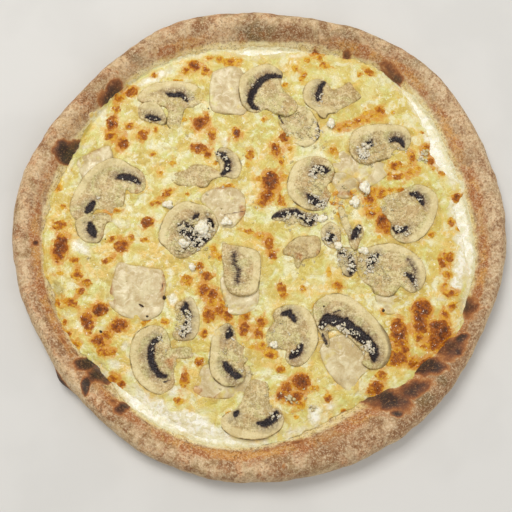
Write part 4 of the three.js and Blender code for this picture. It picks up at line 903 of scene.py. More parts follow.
for i in LAID:
    m = MUSHROOMS[i]
    loop = smooth_loop(at([c[0] for c in m["line"]], [c[1] for c in m["line"]]), 0.7)
    loop = loop + 0.16 * np.c_[noise(loop, 3.5, 130 + i), noise(loop, 3.5, 160 + i)]
    crown = np.array([math.cos(math.radians(m["crown"])), math.sin(math.radians(m["crown"]))])
    lines = [(even(at([p[0] for p in g[0]], [p[1] for p in g[0]]), 0.8, False), g[1] * PX / 2, g[2]) for g in m["gills"]]
    bury = m.get("bury", ())

    def gill_of(V, lines=lines, i=i, crown=crown):
        best, ribs, halo = np.full(len(V), -2.0), np.full(len(V), 0.5), np.zeros(len(V))
        Q = warp(V, 2.2, 0.30, 40 + i)
        for pts, half, dark in lines:
            q, along = to_segments(Q, pts, False)
            near = pts[np.clip((along * (len(pts) - 1) + 0.5).astype(int), 0, len(pts) - 1)]
            ahead = np.clip(((Q - near) @ crown) / 1.2, -1, 1)
            if dark >= 0.6:
                ends = np.sqrt(np.clip(np.sin(math.pi * np.clip(along, 0.0, 1.0)), 0, 1))
                wide = half * (0.45 + 0.62 * ends) * (1 + 0.30 * noise(V, 3.0, 240 + i))
                g = (wide - q) / 1.5
                fade = np.clip(1 - (q - wide) / (3.4 + 1.6 * ahead), 0, 1) * (0.45 + 0.55 * np.clip(ahead, 0, 1)) * min(1.0, half / 1.5)
                g = np.where(g > 0, np.minimum(g, 1.0) * dark, g - (1 - dark))
            else:
                g = (half - q) / 3.0 - 1.2
                fade = np.clip((half - q) / (0.5 * half), 0, 1) * dark * 2.0
            better = g > best
            best[better] = g[better]
            ribs[better] = (0.5 + 0.5 * np.sin(along * len(pts) * 0.8 * 6.0 + 2.5 * noise(V, 1.6, i)))[better]
            halo = np.maximum(halo, fade)
        return best, ribs, halo

    def relief(V, d, gill_of=gill_of, i=i):
        g, ribs, halo = gill_of(V)
        return 0.26 * noise(V, 11, 180 + i) + 0.12 * noise(V, 4, 190 + i) + 0.06 * noise(V, 1.8, 195 + i) - 0.9 * step(-0.4, 0.6, g) - 0.15 * halo + 0.10 * (ribs - 0.5) * np.clip(halo + step(-0.3, 0.2, g), 0, 1)

    def attrs(V, d, m=m, gill_of=gill_of, loop=loop, crown=crown, bury=bury, i=i):
        g, ribs, halo = gill_of(V)
        mid = loop.mean(0)
        out = (V - mid) / (np.linalg.norm(V - mid, axis=1)[:, None] + 1e-9)
        face = out @ crown
        # brown skin at the outline plus painted shade at the slab's edges, stronger on the crown side
        skin_and_edge_shade = (1 - np.clip(d / 1.15, 0, 1)) * (0.55 + 0.45 * step(-0.3, 0.5, face)) * np.clip(0.66 + 0.8 * noise(V, 7, 210 + i), 0.15, 1)
        # painted shade on the right side of slice 15, over its brown-grey skin
        rind_and_shade = np.zeros(len(V))
        if m.get("shade"):
            rind_and_shade = step(4.2, 0.0, d) * step(at(372, 345)[0], at(385, 345)[0], V[:, 0])
        toast, _ = spots_field(V, TOASTED_M, 3, 0.8, 23)
        deep = np.zeros(len(V))
        for bx, by, br, bd in bury:
            c = at(bx, by)
            deep = np.maximum(deep, min(bd, 1.0) * step(1.3, 0.5, np.hypot(V[:, 0] - c[0], V[:, 1] - c[1]) / (br * PX)))
        cover = np.clip(1.3 * m.get("cover", 0) + 0.75 * noise(V, 6, 220 + i) + 0.4 * noise(V, 2.5, 225 + i) - 0.55 + 0.9 * deep, 0, 1) * step(0.1, -0.4, g)
        perp = np.array([-crown[1], crown[0]])
        return dict(across=V @ perp + 40 * i, along=V @ crown, gill=g, ribs=ribs, halo=halo, skin_and_edge_shade=skin_and_edge_shade, rind_and_shade=rind_and_shade, cover=cover, toast=np.clip(toast * 0.6 + 0.45, 0, 1.2), tan=np.clip(m.get("tan", 0.0) * (0.7 + 0.6 * noise(V, 6, 7)), 0, 1), band=step(7.0, 3.0, d) * step(-0.2, 0.4, face))

    slab(f"mushroom_slice_{i:02d}", f"mushroom_{i:02d}", loop, 2.5, M_MUSH, relief, attrs, gap=0.66, bury=bury)

# ------------------------------------------------------------------ melted cheese
TOP = [[0, 0.24], [0.5, 0.24], [0.95, 0.25], [1, 0.32], [1.11, 0.49], [1.24, 0.68], [1.40, 0.86], [1.56, 0.97], [1.70, 1], [1.84, 0.92], [1.95, 0.73], [2, 0.48]]


def slope_z(r, a):
    """Height of the dough's upper side."""
    f = foot_at(a)
    t = np.where(r <= f, r / f, 1 + (r - f) / (edge_at(a) - f))
    lift = np.clip((t - 0.98) / 0.3, 0, 1)
    return np.interp(t, [v[0] for v in TOP], [v[1] for v in TOP]) * RIM * (1 + (rise_at(a) - 1) * lift)


def melt_edge(a):
    return foot_at(a) + 1.6 - 5.0 * bare(a, 12, 0.42) - 3 * bare(a, 38, 0.2) - 4.0 * bare(a, 248, 0.36) - 2.2 * bare(a, 88, 0.2) - 2.0 * bare(a, 118, 0.12) - 1.0 * np.sin(5 * a + 0.4) - 0.9 * np.sin(11 * a + 2) - 0.6 * np.sin(17 * a) + 5.2 * bare(a, 326, 0.14) + 3.2 * bare(a, 311, 0.10) + 1.4 * bare(a, 140, 0.22) + 7.4 * bare(a, 14.5, 0.055) - 1.6 * bare(a, 24, 0.07) + 1.5 * bare(a, 31, 0.05) - 1.4 * bare(a, 2, 0.08) + 1.6 * bare(a, 258, 0.05)


# Where the rim is browned along its inner side: direction, half-width (degrees), how strongly
GOLDEN = [(265, 30, 0.95), (298, 12, 0.75), (200, 22, 0.8), (183, 14, 0.8), (230, 12, 0.75), (165, 14, 0.45), (148, 8, 0.5), (112, 10, 0.75), (62, 10, 0.9), (48, 10, 0.8), (350, 18, 0.9), (332, 12, 0.7), (12, 12, 0.8), (28, 12, 0.85), (135, 10, 0.35), (90, 12, 0.3), (316, 12, 0.7)]


def cream_shows(a):
    """1 where the white cream lies bare between the cheese and the rim."""
    return np.clip(1.5 * bare(a, 16, 0.46) + 1.5 * bare(a, 254, 0.38) + 1.2 * bare(a, 98, 0.34), 0, 1)


def round_band(th, rows):
    v = np.zeros(len(th))
    for where, wide, power in rows:
        d = (th - math.radians(where) + math.pi) % TAU - math.pi
        v = np.maximum(v, power * np.exp(-((d / math.radians(wide)) ** 2)))
    return v


def cream_level(p):
    return 6.7 + 0.45 * noise(p, 9, 411) + 0.3 * noise(p, 3.5, 412) + 0.12 * noise(p, 1.5, 413)


NG = 305
g = np.linspace(-1, 1, NG)
g = np.sign(g) * (1 - (1 - abs(g)) ** 1.15)  # finer towards the end
U, V_ = np.meshgrid(g, g, indexing="xy")
U, V_ = U.ravel(), V_.ravel()
big = np.where(abs(U) > abs(V_), U, V_)
small = np.where(abs(U) > abs(V_), V_, U)
ang = np.where(abs(U) > abs(V_), (math.pi / 4) * small / np.where(big == 0, 1, big), math.pi / 2 - (math.pi / 4) * small / np.where(big == 0, 1, big))
X, Y = big * np.cos(ang), big * np.sin(ang)
th = np.arctan2(Y, X)
rr = np.hypot(X, Y)
lip = melt_edge(th)
lip = lip + 1.5 * noise(np.c_[lip * np.cos(th), lip * np.sin(th)], 12, 303) + 1.0 * noise(np.c_[lip * np.cos(th), lip * np.sin(th)], 6, 301) + 0.5 * noise(np.c_[lip * np.cos(th), lip * np.sin(th)], 2.5, 302)
P = np.c_[rr * lip * np.cos(th), rr * lip * np.sin(th)]
BL = px_spots(BLISTERS)
blister, burn = spots_field(P, BL, 3.8, 0.62, 31)
glow = soft_field(P, [(x, y, a, b, t, 0.42 + 0.42 * q) for x, y, a, b, t, q in BL], 4.0, 1.2, 37, 2.6)
oil = soft_field(P, px_spots(OILY), 4.0, 1.0, 39)
white, wpow = spots_field(P, px_spots(WHITES), 5, 1.8, 33)
yellow = soft_field(P, px_spots(YELLOWS), 8, 3.0, 35)
z = cheese_level(P)
z = z + step(-0.25, 0.5, blister) * (0.25 + 0.45 * burn) * (0.85 + 0.5 * noise(P, 3.2, 41)) + 0.12 * noise(P, 1.4, 42) * step(-0.3, 0.2, blister)
near = sample(blur(HARD, 1.5), P)
under = sample(blur(HARD, 0.6), P)
creep = 4 * near * (1 - near)
z = z + creep * (0.55 + 0.75 * noise(P, 7, 44) + 0.3 * noise(P, 3, 45)) + 0.09 * noise(P, 1.8, 43)
z = z + (cheese_level(P) - 0.45 - z) * step(0.70, 0.97, under)
fall = (1 - rr) * lip
z = z + (cream_level(P) + 0.15 - z) * (1 - step(0.0, 7.5, fall + 1.2 * noise(P, 5, 48))) ** 1.3
dough = slope_z(rr * lip, th)
z = np.maximum(z, dough + (0.45 + 0.18 * noise(P, 3.0, 47)) * step(0.2, 4.0, fall) + 0.05) - 0.28 * step(1.0, 0.0, fall)
milky = np.clip(0.5 + 0.5 * white, 0, 1) * np.where(wpow > 0, wpow, 0)
milky = np.maximum(milky, 0.95 * step(8.5, 1.0, fall + 3.2 * noise(P, 7, 49)) * np.clip(bare(th, 12, 0.5) + bare(th, 248, 0.42) + 0.6 * bare(th, 118, 0.2) + 0.5 * bare(th, 88, 0.25), 0, 1))
glow = np.maximum(glow, 0.75 * (1 - cream_shows(th)) * round_band(th, GOLDEN) * step(4.0, 0.5, fall + 1.2 * noise(P, 5, 51)))
# painted contact shade round the toppings
contact_shade = creep * np.clip(0.75 + 0.6 * noise(P, 9, 50), 0.2, 1.2)
ix = np.arange(NG * NG).reshape(NG, NG)
quads = np.c_[ix[:-1, :-1].ravel(), ix[:-1, 1:].ravel(), ix[1:, 1:].ravel(), ix[1:, :-1].ravel()]
rim_ix = np.concatenate([ix[0, :-1], ix[:-1, -1], ix[-1, :0:-1], ix[:0:-1, 0]])
k = len(rim_ix)
under_v = np.c_[P[rim_ix] * 0.992, np.full(k, 6.0)]
centre_v = np.array([[0, 0, 6.0]])
base_i = NG * NG
nx = np.roll(np.arange(k), -1)
wall = np.c_[base_i + np.arange(k), base_i + nx, rim_ix[nx], rim_ix]
floor_t = np.c_[base_i + nx, base_i + np.arange(k), np.full(k, base_i + k)]
verts = np.vstack([np.c_[P, z], under_v, centre_v])
pad = lambda v: np.concatenate([v, v[rim_ix], [0]])
cheese = add_mesh(
    "melted_cheese", verts, [quads, wall, floor_t], M_CHEESE,
    dict(blister=pad(blister), burn=pad(burn), glow=pad(glow), white=pad(milky), yellow=pad(0.9 * yellow), contact_shade=pad(contact_shade), oil=pad(oil)),
)
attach(cheese, "root")
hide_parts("cheese")

# ------------------------------------------------------------------ cream, out to the foot of the rim
NA = 720
an = np.arange(NA) * TAU / NA
lipc = foot_at(an)
rim_p = np.c_[lipc * np.cos(an), lipc * np.sin(an)]
lipc = lipc + 1.6 + 1.2 * noise(rim_p, 17, 403) + 0.9 * noise(rim_p, 8, 401) + 0.3 * noise(rim_p, 3.5, 402) + 1.2 * bare(an, 14, 0.4) + 0.8 * bare(an, 248, 0.35)
lipc = lipc * cream_shows(an) + (melt_edge(an) - 3.0) * (1 - cream_shows(an))
shares = np.concatenate([np.linspace(0.08, 0.82, 7), np.linspace(0.85, 1.0, 30)])
rings, zs, thins = [], [], []
for s in shares:
    r = lipc * s
    p = np.c_[r * np.cos(an), r * np.sin(an)]
    d = lipc - r
    h = cream_level(p)
    h = h + 0.3 * (bare(an, 14, 0.45) + 0.8 * bare(an, 248, 0.4)) * step(0, 4.0, d) * step(12, 5, d)
    h = np.maximum(h, slope_z(r, an) + (0.18 + 0.10 * noise(p, 5, 414)) * step(0.2, 3.5, d) + 0.04) - 0.6 * step(0.4, 0, d)
    rings.append(p)
    zs.append(h)
    thins.append(step(4.5, 0.8, d))
m = len(shares)
top = np.c_[np.vstack(rings), np.concatenate(zs)]
low = np.c_[rings[-1] * 0.99, np.full(NA, 4.7)]
verts = np.vstack([top, low, [[0, 0, 6.2], [0, 0, 4.7]]])
quads = []
j = np.arange(NA)
j1 = (j + 1) % NA
for i in range(m - 1):
    quads.append(np.c_[i * NA + j, (i + 1) * NA + j, (i + 1) * NA + j1, i * NA + j1])
quads.append(np.c_[(m - 1) * NA + j, m * NA + j, m * NA + j1, (m - 1) * NA + j1])
caps = np.vstack([np.c_[j, j1, np.full(NA, (m + 1) * NA)], np.c_[m * NA + j1, m * NA + j, np.full(NA, (m + 1) * NA + 1)]])
cream = add_mesh("cream_sauce", verts, [np.vstack(quads), caps], M_CREAM, dict(thin=np.concatenate(thins + [np.ones(NA), [0, 0]])))
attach(cream, "root")
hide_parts("cream_sauce")

# ------------------------------------------------------------------ the dough: flat below, raised rim, browned bubbles
UNDER = [[1.97, 0.26], [1.88, 0.1], [1.74, 0.015], [1.5, 0], [0.8, 0], [0, 0]]
sec = np.array(TOP + UNDER)
flat = np.c_[np.where(sec[:, 0] <= 1, sec[:, 0] * 125.6, 125.6 + 21.4 * (sec[:, 0] - 1)), sec[:, 1] * RIM]
ext = np.vstack([flat[:1], flat, flat[-1:]])
line = []
for i in range(len(flat) - 1):
    a, b, c, d = ext[i], ext[i + 1], ext[i + 2], ext[i + 3]
    t = np.linspace(0, 1, 40, endpoint=False)[:, None]
    if i in (0, 1, 2, 14, 15, 16):
        line.append(b + (c - b) * t)
    else:
        line.append(0.5 * (2 * b + (c - a) * t + (2 * a - 5 * b + 4 * c - d) * t * t + (3 * b - a - 3 * c + d) * t**3))
line = np.vstack(line + [flat[-1:]])
s = np.concatenate([[0], np.cumsum(np.linalg.norm(np.diff(line, axis=0), axis=1))])
first = s[np.argmin(abs(line[:600, 0] - 117))]
turn = s[np.argmin(np.where(np.arange(len(line)) > 440, abs(line[:, 0] - 134), 1e9))]
spots = np.concatenate([np.linspace(4, first - 12, 6), np.arange(first, turn, 0.80), np.linspace(turn + 2, s[-1] - 4, 8)])
lr, lz = np.interp(spots, s, line[:, 0]), np.interp(spots, s, line[:, 1])
lt = np.where(lr <= 125.6, lr / 125.6, 1 + (lr - 125.6) / 21.4)
NC = 1080
ca = np.arange(NC) * TAU / NC
A, T_ = np.meshgrid(ca, lt)
share = np.repeat((lz / RIM)[:, None], NC, 1)
is_top = np.repeat((np.arange(len(lt)) <= int(np.argmax(lr)))[:, None], NC, 1)
foot, edge = foot_at(A), edge_at(A)
edge = edge + 0.35 * noise(np.c_[(edge * np.cos(A)).ravel(), (edge * np.sin(A)).ravel()], 9, 521).reshape(A.shape)
R = np.where(T_ <= 1, T_ * foot, foot + (T_ - 1) * (edge - foot))
lift = np.clip((T_ - 0.98) / 0.3, 0, 1) * np.clip(2 * share, 0, 1)
Z = share * RIM * (1 + (rise_at(A) - 1) * lift)
B = np.stack([R * np.cos(A), R * np.sin(A), Z], -1)


def normals(B):
    du = np.roll(B, -1, 1) - np.roll(B, 1, 1)
    dv = np.gradient(B, axis=0)
    n = np.cross(dv, du)
    n /= np.linalg.norm(n, axis=2, keepdims=True) + 1e-12
    return n if n[20, 0, 2] > 0 else -n


N = normals(B)
flatB = B.reshape(-1, 3)
plan = flatB[:, :2]
# Browned places of the rim: pixel x, y, width, depth, turn, how dark
RIM_CHAR = [
    (64, 150, 20, 21, 10, 1.0), (72, 143, 34, 14, 35, 0.66), (74, 153, 22, 12, 0, 0.6), (110, 91, 38, 16, 52, 0.74), (389, 400, 21, 20, 0, 1.0), (379, 393, 40, 34, 0, 0.68), (399, 400, 30, 30, 0, 0.62), (414, 389, 42, 19, 24, 0.68), (398, 414, 15, 7, -8, 0.74),
    (429, 366, 32, 18, 5, 0.95), (417, 367, 12, 7, 0, 0.75), (461.4, 338.5, 18, 9, 28, 0.84), (452, 348, 36, 26, 30, 0.66), (458, 351, 12, 12, 0, 0.74), (469, 304, 22, 34, 10, 0.66), (472, 315, 10, 14, 0, 0.42),
    (84, 362, 22, 16, 10, 0.95), (95, 374, 20, 18, -30, 0.85), (86, 385, 8, 18, 0, 0.95), (104, 378, 14, 12, 0, 0.6), (121, 408, 13, 13, 0, 0.85), (112, 402, 12, 8, -20, 0.5), (34, 241.7, 6, 7, 0, 0.7), (32, 285.6, 5, 6, 0, 0.4),
    (346, 78, 1, 1, 0, 0.3), (348, 50, 12, 11, -30, 0.52), (348, 50, 22, 18, -30, 0.30), (358, 50, 10, 6, 0, 0.4), (393, 69, 44, 20, -50, 0.54), (399, 75, 20, 14, -50, 0.64), (384, 60, 14, 9, -40, 0.50), (460, 196, 12, 9, 15, 0.55), (284, 465, 6, 5, 0, 0.42), (316, 47, 13, 11, 0, 0.52), (316, 47, 22, 17, 0, 0.30),
    (298, 441, 26, 6, 8, 0.5), (225, 451, 26, 7, -4, 0.35), (62, 340, 6, 16, 25, 0.45), (40, 262, 12, 5, -40, 0.35), (118, 72, 6, 9, 50, 0.4), (443, 382, 10, 8, 40, 0.3), (455, 268, 6, 5, 0, 0.2),
]
# Greyish, olive burnt patches without a hard edge: pixel x, y, width, depth, turn, how dark
RIM_DUSK = [
    (252, 31, 40, 20, 0, 0.9), (258, 34, 26, 12, 10, 1.0), (346, 37, 30, 12, -12, 0.55), (135, 57, 14, 26, 60, 0.6), (422, 397, 16, 22, 0, 0.85), (441, 380, 10, 14, 30, 0.95), (447, 367, 8, 6, 0, 0.6), (418, 62, 16, 20, 45, 0.45), (496, 225, 6, 12, 0, 0.5),
    (48, 309, 14, 9, 0, 0.75), (399, 428, 8, 7, 0, 0.45), (380, 415, 10, 7, 0, 0.4), (430, 400, 18, 10, 30, 0.35), (39, 205, 10, 30, 0, 0.30), (36, 290, 10, 10, 0, 0.4), (470, 356, 8, 8, 0, 0.3), (484, 190, 8, 20, 0, 0.2), (300, 36, 40, 14, 0, 0.35), (215, 34, 24, 14, 0, 0.3),
    (492, 190, 10, 14, 0, 0.3), (486, 245, 10, 16, 0, 0.35), (415, 100, 14, 20, 45, 0.3),
]
char = soft_field(plan, [(x, y, 1.15 * a, 1.15 * b, t, q) for x, y, a, b, t, q in px_spots(RIM_CHAR, 16.5)], 5.0, 1.3, 51, merge=False)
dusk = soft_field(plan, [(x, y, 1.1 * a, 1.1 * b, t, q) for x, y, a, b, t, q in px_spots(RIM_DUSK, 16.5)], 6.0, 2.0, 53)
free = (np.clip((T_ - 0.99) / 0.32, 0, 1) * np.clip((Z - 0.6) / 4, 0, 1)).ravel()
out = 0.55 * noise(flatB, 19, 501) + 0.34 * noise(flatB, 8, 502) + 0.17 * noise(flatB, 3.6, 503) + 0.06 * noise(flatB, 1.7, 504)
out = out + 0.55 * step(0.30, 0.75, char) * (0.8 + 0.5 * noise(flatB, 3, 505))
lip_bump = 2.4 * bare(A.ravel(), 217, 0.035) * np.exp(-(((T_.ravel() - 2.0) / 0.10) ** 2)) * np.exp(-(((Z.ravel() - 8) / 3.5) ** 2))
out = out + lip_bump
flatB = flatB + (N.reshape(-1, 3) * (out * free)[:, None])
flatB[:, 2] = np.maximum(flatB[:, 2], 0)
char = step(0.10, 0.88, char)
char = np.maximum(char, 0.9 * np.clip(lip_bump / 1.2, 0, 1))
th = A.ravel()
tt = T_.ravel()


along = round_band(th, GOLDEN)
centre_t = 1.29 + 0.06 * noise(np.c_[100 * np.cos(th), 100 * np.sin(th)], 20, 61)
golden = along * np.exp(-(((tt - centre_t) / 0.17) ** 2)) * is_top.ravel()
slope = step(1.30, 1.10, tt) * is_top.ravel() * (0.80 + 0.20 * round_band(th, [(95, 30, 1), (20, 30, 1), (150, 14, 1), (255, 20, 0.6)]))
side = np.maximum(step(1.90, 1.99, tt), 1 - is_top.ravel() * 1.0)
# fairer (above 0) and browner (below 0) stretches of the rim, from its inner slope out to its outer side
TONES = [
    (1.0, 1.24, 0.75, [(30, 26), (120, 40), (90, 20), (66, 16), (168, 14)]), (1.22, 1.5, 0.55, [(30, 14), (124, 28)]), (1.5, 1.8, 0.5, [(110, 16), (150, 16)]), (1.72, 2.1, 0.9, [(214, 16), (236, 14)]),
    (1.22, 1.5, -0.55, [(205, 20), (232, 14), (286, 26), (316, 18), (334, 16)]), (1.5, 1.78, -0.45, [(212, 12), (232, 12), (352, 12), (292, 14)]), (1.48, 1.82, -0.95, [(314, 17), (334, 15)]), (1.75, 2.1, -0.45, [(318, 22), (350, 14)]),
]
tone = 0.45 * noise(np.c_[flatB[:, :2], 0 * th], 15, 63)
for lo_t, hi_t, power, rows in TONES:
    tone = tone + power * round_band(th, [(v, w, 1.0) for v, w in rows]) * step(lo_t - 0.08, lo_t + 0.06, tt) * step(hi_t + 0.08, hi_t - 0.06, tt)
pale = round_band(th, [(2, 40, 1.0), (40, 14, 0.8), (330, 12, 0.6), (300, 25, 0.25), (200, 20, 0.25)])
idx = np.arange(len(flatB)).reshape(A.shape)
nr = len(lt)
nxt = np.roll(idx, -1, 1)
quads = np.stack([idx[:-1], idx[1:], nxt[1:], nxt[:-1]], -1).reshape(-1, 4)
c0, c1 = len(flatB), len(flatB) + 1
caps = np.vstack([np.c_[idx[0], nxt[0], np.full(NC, c0)], np.c_[nxt[-1], idx[-1], np.full(NC, c1)]])
verts = np.vstack([flatB, [[0, 0, 0.24 * RIM], [0, 0, 0]]])
pad = lambda v: np.concatenate([v, [0, 0]])
crust = add_mesh("baked_crust", verts, [quads, caps], M_CRUST, dict(char=pad(char), dusk=pad(dusk), line=pad(golden), slope=pad(slope), side=pad(side), pale=pad(pale), tone=pad(tone)))
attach(crust, "root")
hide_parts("crust")

# ------------------------------------------------------------------ hard cheese: big lumps and fine crumbs; herb specks
top_now = np.maximum(S, BASE)


def lump_mesh(n):
    bm = bmesh.new()
    bmesh.ops.create_icosphere(bm, subdivisions=n, radius=1.0)
    v = np.array([tuple(x.co) for x in bm.verts])
    bm.verts.index_update()
    f = np.array([[x.index for x in q.verts] for q in bm.faces])
    bm.free()
    return v, f


LV, LF = lump_mesh(4)
LUMPS = [
    (202, 228, 14, 16), (183, 243, 11, 10), (226, 221, 12, 11), (168, 203, 12, 9), (191, 266, 9, 8), (331, 122, 9, 13), (365, 187, 12, 15), (355, 201, 11, 12), (323, 218, 11, 9), (364, 250, 11, 8), (338, 245, 9, 8), (274, 344, 8, 8),
]
for i, (px, py, w, h) in enumerate(LUMPS):
    node = f"cheese_crumb_{i + 1:02d}"
    c = at(px, py, 12.5)
    # a clod of smaller grains stuck together
    q = LV.copy()
    reach = np.full(len(q), 0.50)
    for _ in range(11):
        gc = rng.normal(size=3)
        gc *= rng.uniform(0.42, 0.62) / np.linalg.norm(gc)
        gr = rng.uniform(0.34, 0.50)
        across = q @ gc
        disc = across**2 - gc @ gc + gr**2
        reach = np.maximum(reach, np.where(disc > 0, across + np.sqrt(np.maximum(disc, 0)), 0))
    reach = reach * (1.05 + 0.10 * noise(q * 10, 4.0, 720 + i) + 0.09 * noise(q * 10, 2.0, 740 + i) + 0.06 * noise(q * 10, 1.0, 760 + i))
    size = np.array([w * PX / 2, h * PX / 2, 0.36 * (w + h) / 2 * PX])
    P3 = q * reach[:, None] * size
    # turned a little so that no two stand alike
    t = rng.uniform(-0.5, 0.5)
    P3[:, :2] = P3[:, :2] @ np.array([[math.cos(t), math.sin(t)], [-math.sin(t), math.cos(t)]])
    ground = sample(blur(top_now, 1.5), c[None])[0]
    P3 = P3 + np.array([c[0], c[1], ground + size[2] * 0.55])
    ob = add_mesh(f"hard_cheese_lump_{i + 1:02d}", P3, LF, M_LUMP, dict(soak=np.clip(0.10 + 0.4 * noise(P3, 3, 780 + i), 0, 0.4)))
    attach(ob, "root")
    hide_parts(node)

# Fine crumbs: pixel x, y, half-width, half-depth, count, mean size (mm)
CRUMBS = [
    (186, 97, 8, 7, 16, 1.0), (157, 119, 9, 5, 10, 0.8), (223, 160, 7, 10, 26, 1.0), (192, 236, 18, 18, 190, 1.1), (203, 228, 11, 11, 40, 1.5), (186, 245, 11, 8, 40, 1.4), (130, 184, 12, 4, 12, 0.8),
    (184, 322, 8, 14, 50, 1.1), (185, 331, 6, 6, 14, 1.6), (161, 348, 9, 12, 30, 1.0), (232, 345, 10, 10, 34, 0.9), (243, 366, 9, 10, 30, 0.9), (262, 402, 12, 16, 34, 0.8), (275, 416, 5, 4, 8, 1.0), (277, 334, 14, 14, 80, 0.9), (297, 345, 7, 9, 20, 0.9),
    (346, 331, 10, 7, 34, 1.2), (330, 325, 8, 6, 18, 1.0), (366, 347, 8, 9, 34, 1.3), (356, 338, 8, 8, 18, 0.9), (369, 263, 10, 12, 80, 1.0), (380, 276, 13, 12, 50, 0.9), (410, 281, 9, 9, 30, 0.8), (395, 270, 12, 12, 24, 0.8),
    (318, 172, 8, 7, 50, 1.0), (317, 187, 11, 10, 60, 0.9), (318, 201, 10, 6, 36, 0.9), (395, 207, 14, 10, 40, 0.8), (403, 230, 10, 5, 24, 0.9), (420, 197, 7, 7, 12, 0.8), (363, 150, 8, 9, 50, 1.2), (380, 144, 14, 9, 44, 0.9), (398, 150, 9, 6, 20, 0.8), (370, 160, 12, 5, 34, 0.9),
    (318, 96, 7, 10, 14, 0.9), (301, 219, 20, 7, 80, 1.0), (318, 214, 10, 8, 36, 1.1), (331, 240, 8, 8, 30, 0.9), (345, 262, 9, 13, 60, 1.0), (353, 262, 7, 11, 30, 1.0), (357, 232, 7, 7, 16, 0.8), (335, 222, 12, 8, 36, 0.9), (342, 212, 12, 10, 30, 0.9), (330, 205, 10, 8, 24, 0.9),
    (262, 82, 14, 10, 14, 0.8), (302, 128, 16, 14, 90, 0.9), (288, 112, 10, 8, 26, 0.8), (318, 138, 10, 12, 40, 0.8), (345, 196, 16, 10, 30, 0.9), (372, 200, 12, 12, 20, 0.9), (105, 200, 16, 16, 16, 0.7), (205, 270, 12, 16, 26, 0.9), (214, 300, 14, 14, 24, 0.9), (298, 262, 18, 10, 20, 0.8),
    (296, 398, 10, 4, 8, 1.8), (290, 397, 4, 3, 3, 2.4), (192, 58, 20, 8, 10, 0.8), (423, 158, 6, 9, 12, 1.6), (300, 398, 26, 16, 20, 0.8), (264, 210, 90, 70, 60, 0.8), (250, 250, 180, 160, 150, 0.75),
]
SV, SF = lump_mesh(1)
places, sizes = [], []
for px, py, rx, ry, n, mean in CRUMBS:
    c = at(px, py, 11)
    for _ in range(n):
        a, r = rng.uniform(0, TAU), math.sqrt(rng.uniform(0, 1))
        x, y = c[0] + rx * PX * r * math.cos(a), c[1] + ry * PX * r * math.sin(a)
        if math.hypot(x, y) > foot_at(math.atan2(y, x)) - 5 or rng.uniform() > (0.72 if mean > 0.85 else 0.8):
            continue
        places.append((x, y))
        sizes.append(mean * rng.lognormal(0, 0.38))
places, sizes = np.array(places), np.array(sizes)
# crumbs keep their whiteness on the dark gills and soak up oil elsewhere
dark = np.zeros(len(places))
for m in MUSHROOMS.values():
    for row, wide, power in m["gills"]:
        if power > 0.6:
            q, _ = to_segments(places, even(at([v[0] for v in row], [v[1] for v in row]), 1.0, False), False)
            dark = np.maximum(dark, step(wide * PX / 2 + 2.5, wide * PX / 2, q))
ground = sample(top_now, places)
parts_v, parts_f, soaks, count = [], [], [], 0
for (x, y), mean, on_dark, zt in zip(places, sizes, dark, ground):
    soak = np.clip(rng.normal(0.80 - 0.75 * on_dark, 0.22), 0, 1)
    mean = mean * (1.30 if on_dark > 0.5 else 1.05)
    grains = 1 + int(mean > 0.7) + int(mean > 1.0) + int(mean > 1.4) * 2
    for g_no in range(grains):
        size = mean * (rng.uniform(0.75, 1.1) if grains == 1 else rng.uniform(0.45, 0.85))
        q = SV * rng.uniform(0.62, 1.30, (len(SV), 1))
        q = q * size * 0.5 * np.array([rng.uniform(0.9, 1.5), rng.uniform(0.6, 1.0), rng.uniform(0.45, 0.85)])
        t = rng.uniform(0, TAU)
        q = np.c_[q[:, 0] * math.cos(t) - q[:, 1] * math.sin(t), q[:, 0] * math.sin(t) + q[:, 1] * math.cos(t), q[:, 2]]
        off = rng.normal(0, 0.30 * mean, 2) * (grains > 1)
        parts_v.append(q + np.array([x + off[0], y + off[1], zt + 0.10 * size + 0.22 * mean * (g_no > 1)]))
        parts_f.append(SF + count * len(SV))
        soaks.append(np.full(len(SV), np.clip(soak + rng.normal(0, 0.12), 0, 1)))
        count += 1
grated = add_mesh("grated_hard_cheese", np.vstack(parts_v), np.vstack(parts_f), M_CRUMB, dict(soak=np.concatenate(soaks)), smooth=False)
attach(grated, "root")

SPECKS = [(141, 305, 6, 2, -35), (147, 316, 3, 2.4, 0), (164, 297, 4, 5, 0), (100, 331, 4, 3, -40), (209, 107, 5, 2.5, -40), (384, 310, 3.6, 3.4, 0), (162, 285, 2, 6, 0), (104, 238, 3, 2, 0), (312, 358, 2, 2, 0), (324, 306, 2, 2, 0)]
parts_v, parts_f = [], []
for i, (px, py, w, h, turn) in enumerate(SPECKS):
    c = at(px, py, 11.5)
    q = SV * (1 + 0.35 * noise(SV * 10, 8, 800 + i)[:, None]) * np.array([w * PX / 2, h * PX / 2, 0.35])
    t = math.radians(turn)
    q = np.c_[q[:, 0] * math.cos(t) - q[:, 1] * math.sin(t), q[:, 0] * math.sin(t) + q[:, 1] * math.cos(t), q[:, 2]]
    parts_v.append(q + np.array([c[0], c[1], sample(top_now, c[None])[0] + 0.12]))
    parts_f.append(SF + i * len(SV))
specks = add_mesh("herb_specks", np.vstack(parts_v), np.vstack(parts_f), M_PEPPER)
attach(specks, "root")

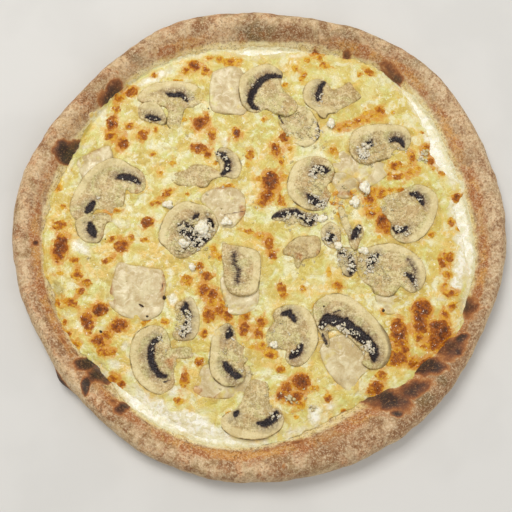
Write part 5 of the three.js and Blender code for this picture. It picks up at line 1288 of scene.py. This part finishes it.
# ------------------------------------------------------------------ floor, light and camera
k = Mat("studio_floor")
n = k.noise(60, 3, 0.5)
M_FLOOR = k.done(k.mix(k.rng(n, 0.3, 0.7), srgb(222, 220, 216), srgb(226, 224, 220)), 0.75, None, spec=0.2)
me = bpy.data.meshes.new("studio_floor")
L = 3.0
me.from_pydata([(-L, -L, -0.0002), (L, -L, -0.0002), (L, L, -0.0002), (-L, L, -0.0002)], [], [(0, 1, 2, 3)])
me.materials.append(M_FLOOR)
floor = bpy.data.objects.new("studio_floor", me)
bpy.context.scene.collection.objects.link(floor)

world = bpy.data.worlds.new("studio")
world.use_nodes = True
world.node_tree.nodes["Background"].inputs[0].default_value = (1.0, 0.985, 0.95, 1)
world.node_tree.nodes["Background"].inputs[1].default_value = 0.42
bpy.context.scene.world = world


def softbox(name, place, aim, size, power, colour=(1, 1, 1)):
    d = bpy.data.lights.new(name, "AREA")
    d.shape = "RECTANGLE"
    d.size, d.size_y = size
    d.energy = power
    d.color = colour
    ob = bpy.data.objects.new(name, d)
    bpy.context.scene.collection.objects.link(ob)
    v = np.array(place, float) - np.array(aim, float)
    ob.location = place
    yaw = math.atan2(v[1], v[0])
    tilt = math.atan2(math.hypot(v[0], v[1]), v[2])
    ob.rotation_euler = (0, tilt, yaw)
    return ob


softbox("key", (-0.36, 0.55, 1.30), (0, 0, 0), (0.65, 0.65), 13.2, (1.0, 0.985, 0.96))
softbox("fill", (0.9, -0.5, 1.1), (0, 0, 0), (1.1, 1.1), 5.6, (0.97, 0.985, 1.0))

cam = bpy.data.cameras.new("camera")
cam.sensor_fit = "HORIZONTAL"
cam.angle = 2 * math.atan(256 / FOCAL)
cam.clip_start = 0.01
cam.clip_end = 20
camera = bpy.data.objects.new("camera", cam)
bpy.context.scene.collection.objects.link(camera)
camera.location = ((EYE[0] + SHIFT[0]) / 1000, (EYE[1] + SHIFT[1]) / 1000, EYE[2] / 1000)
camera.rotation_euler = (math.radians(90) - ELEV, 0, 0)
bpy.context.scene.camera = camera
bpy.context.scene.view_settings.view_transform = "Standard"
bpy.context.scene.view_settings.look = "None"
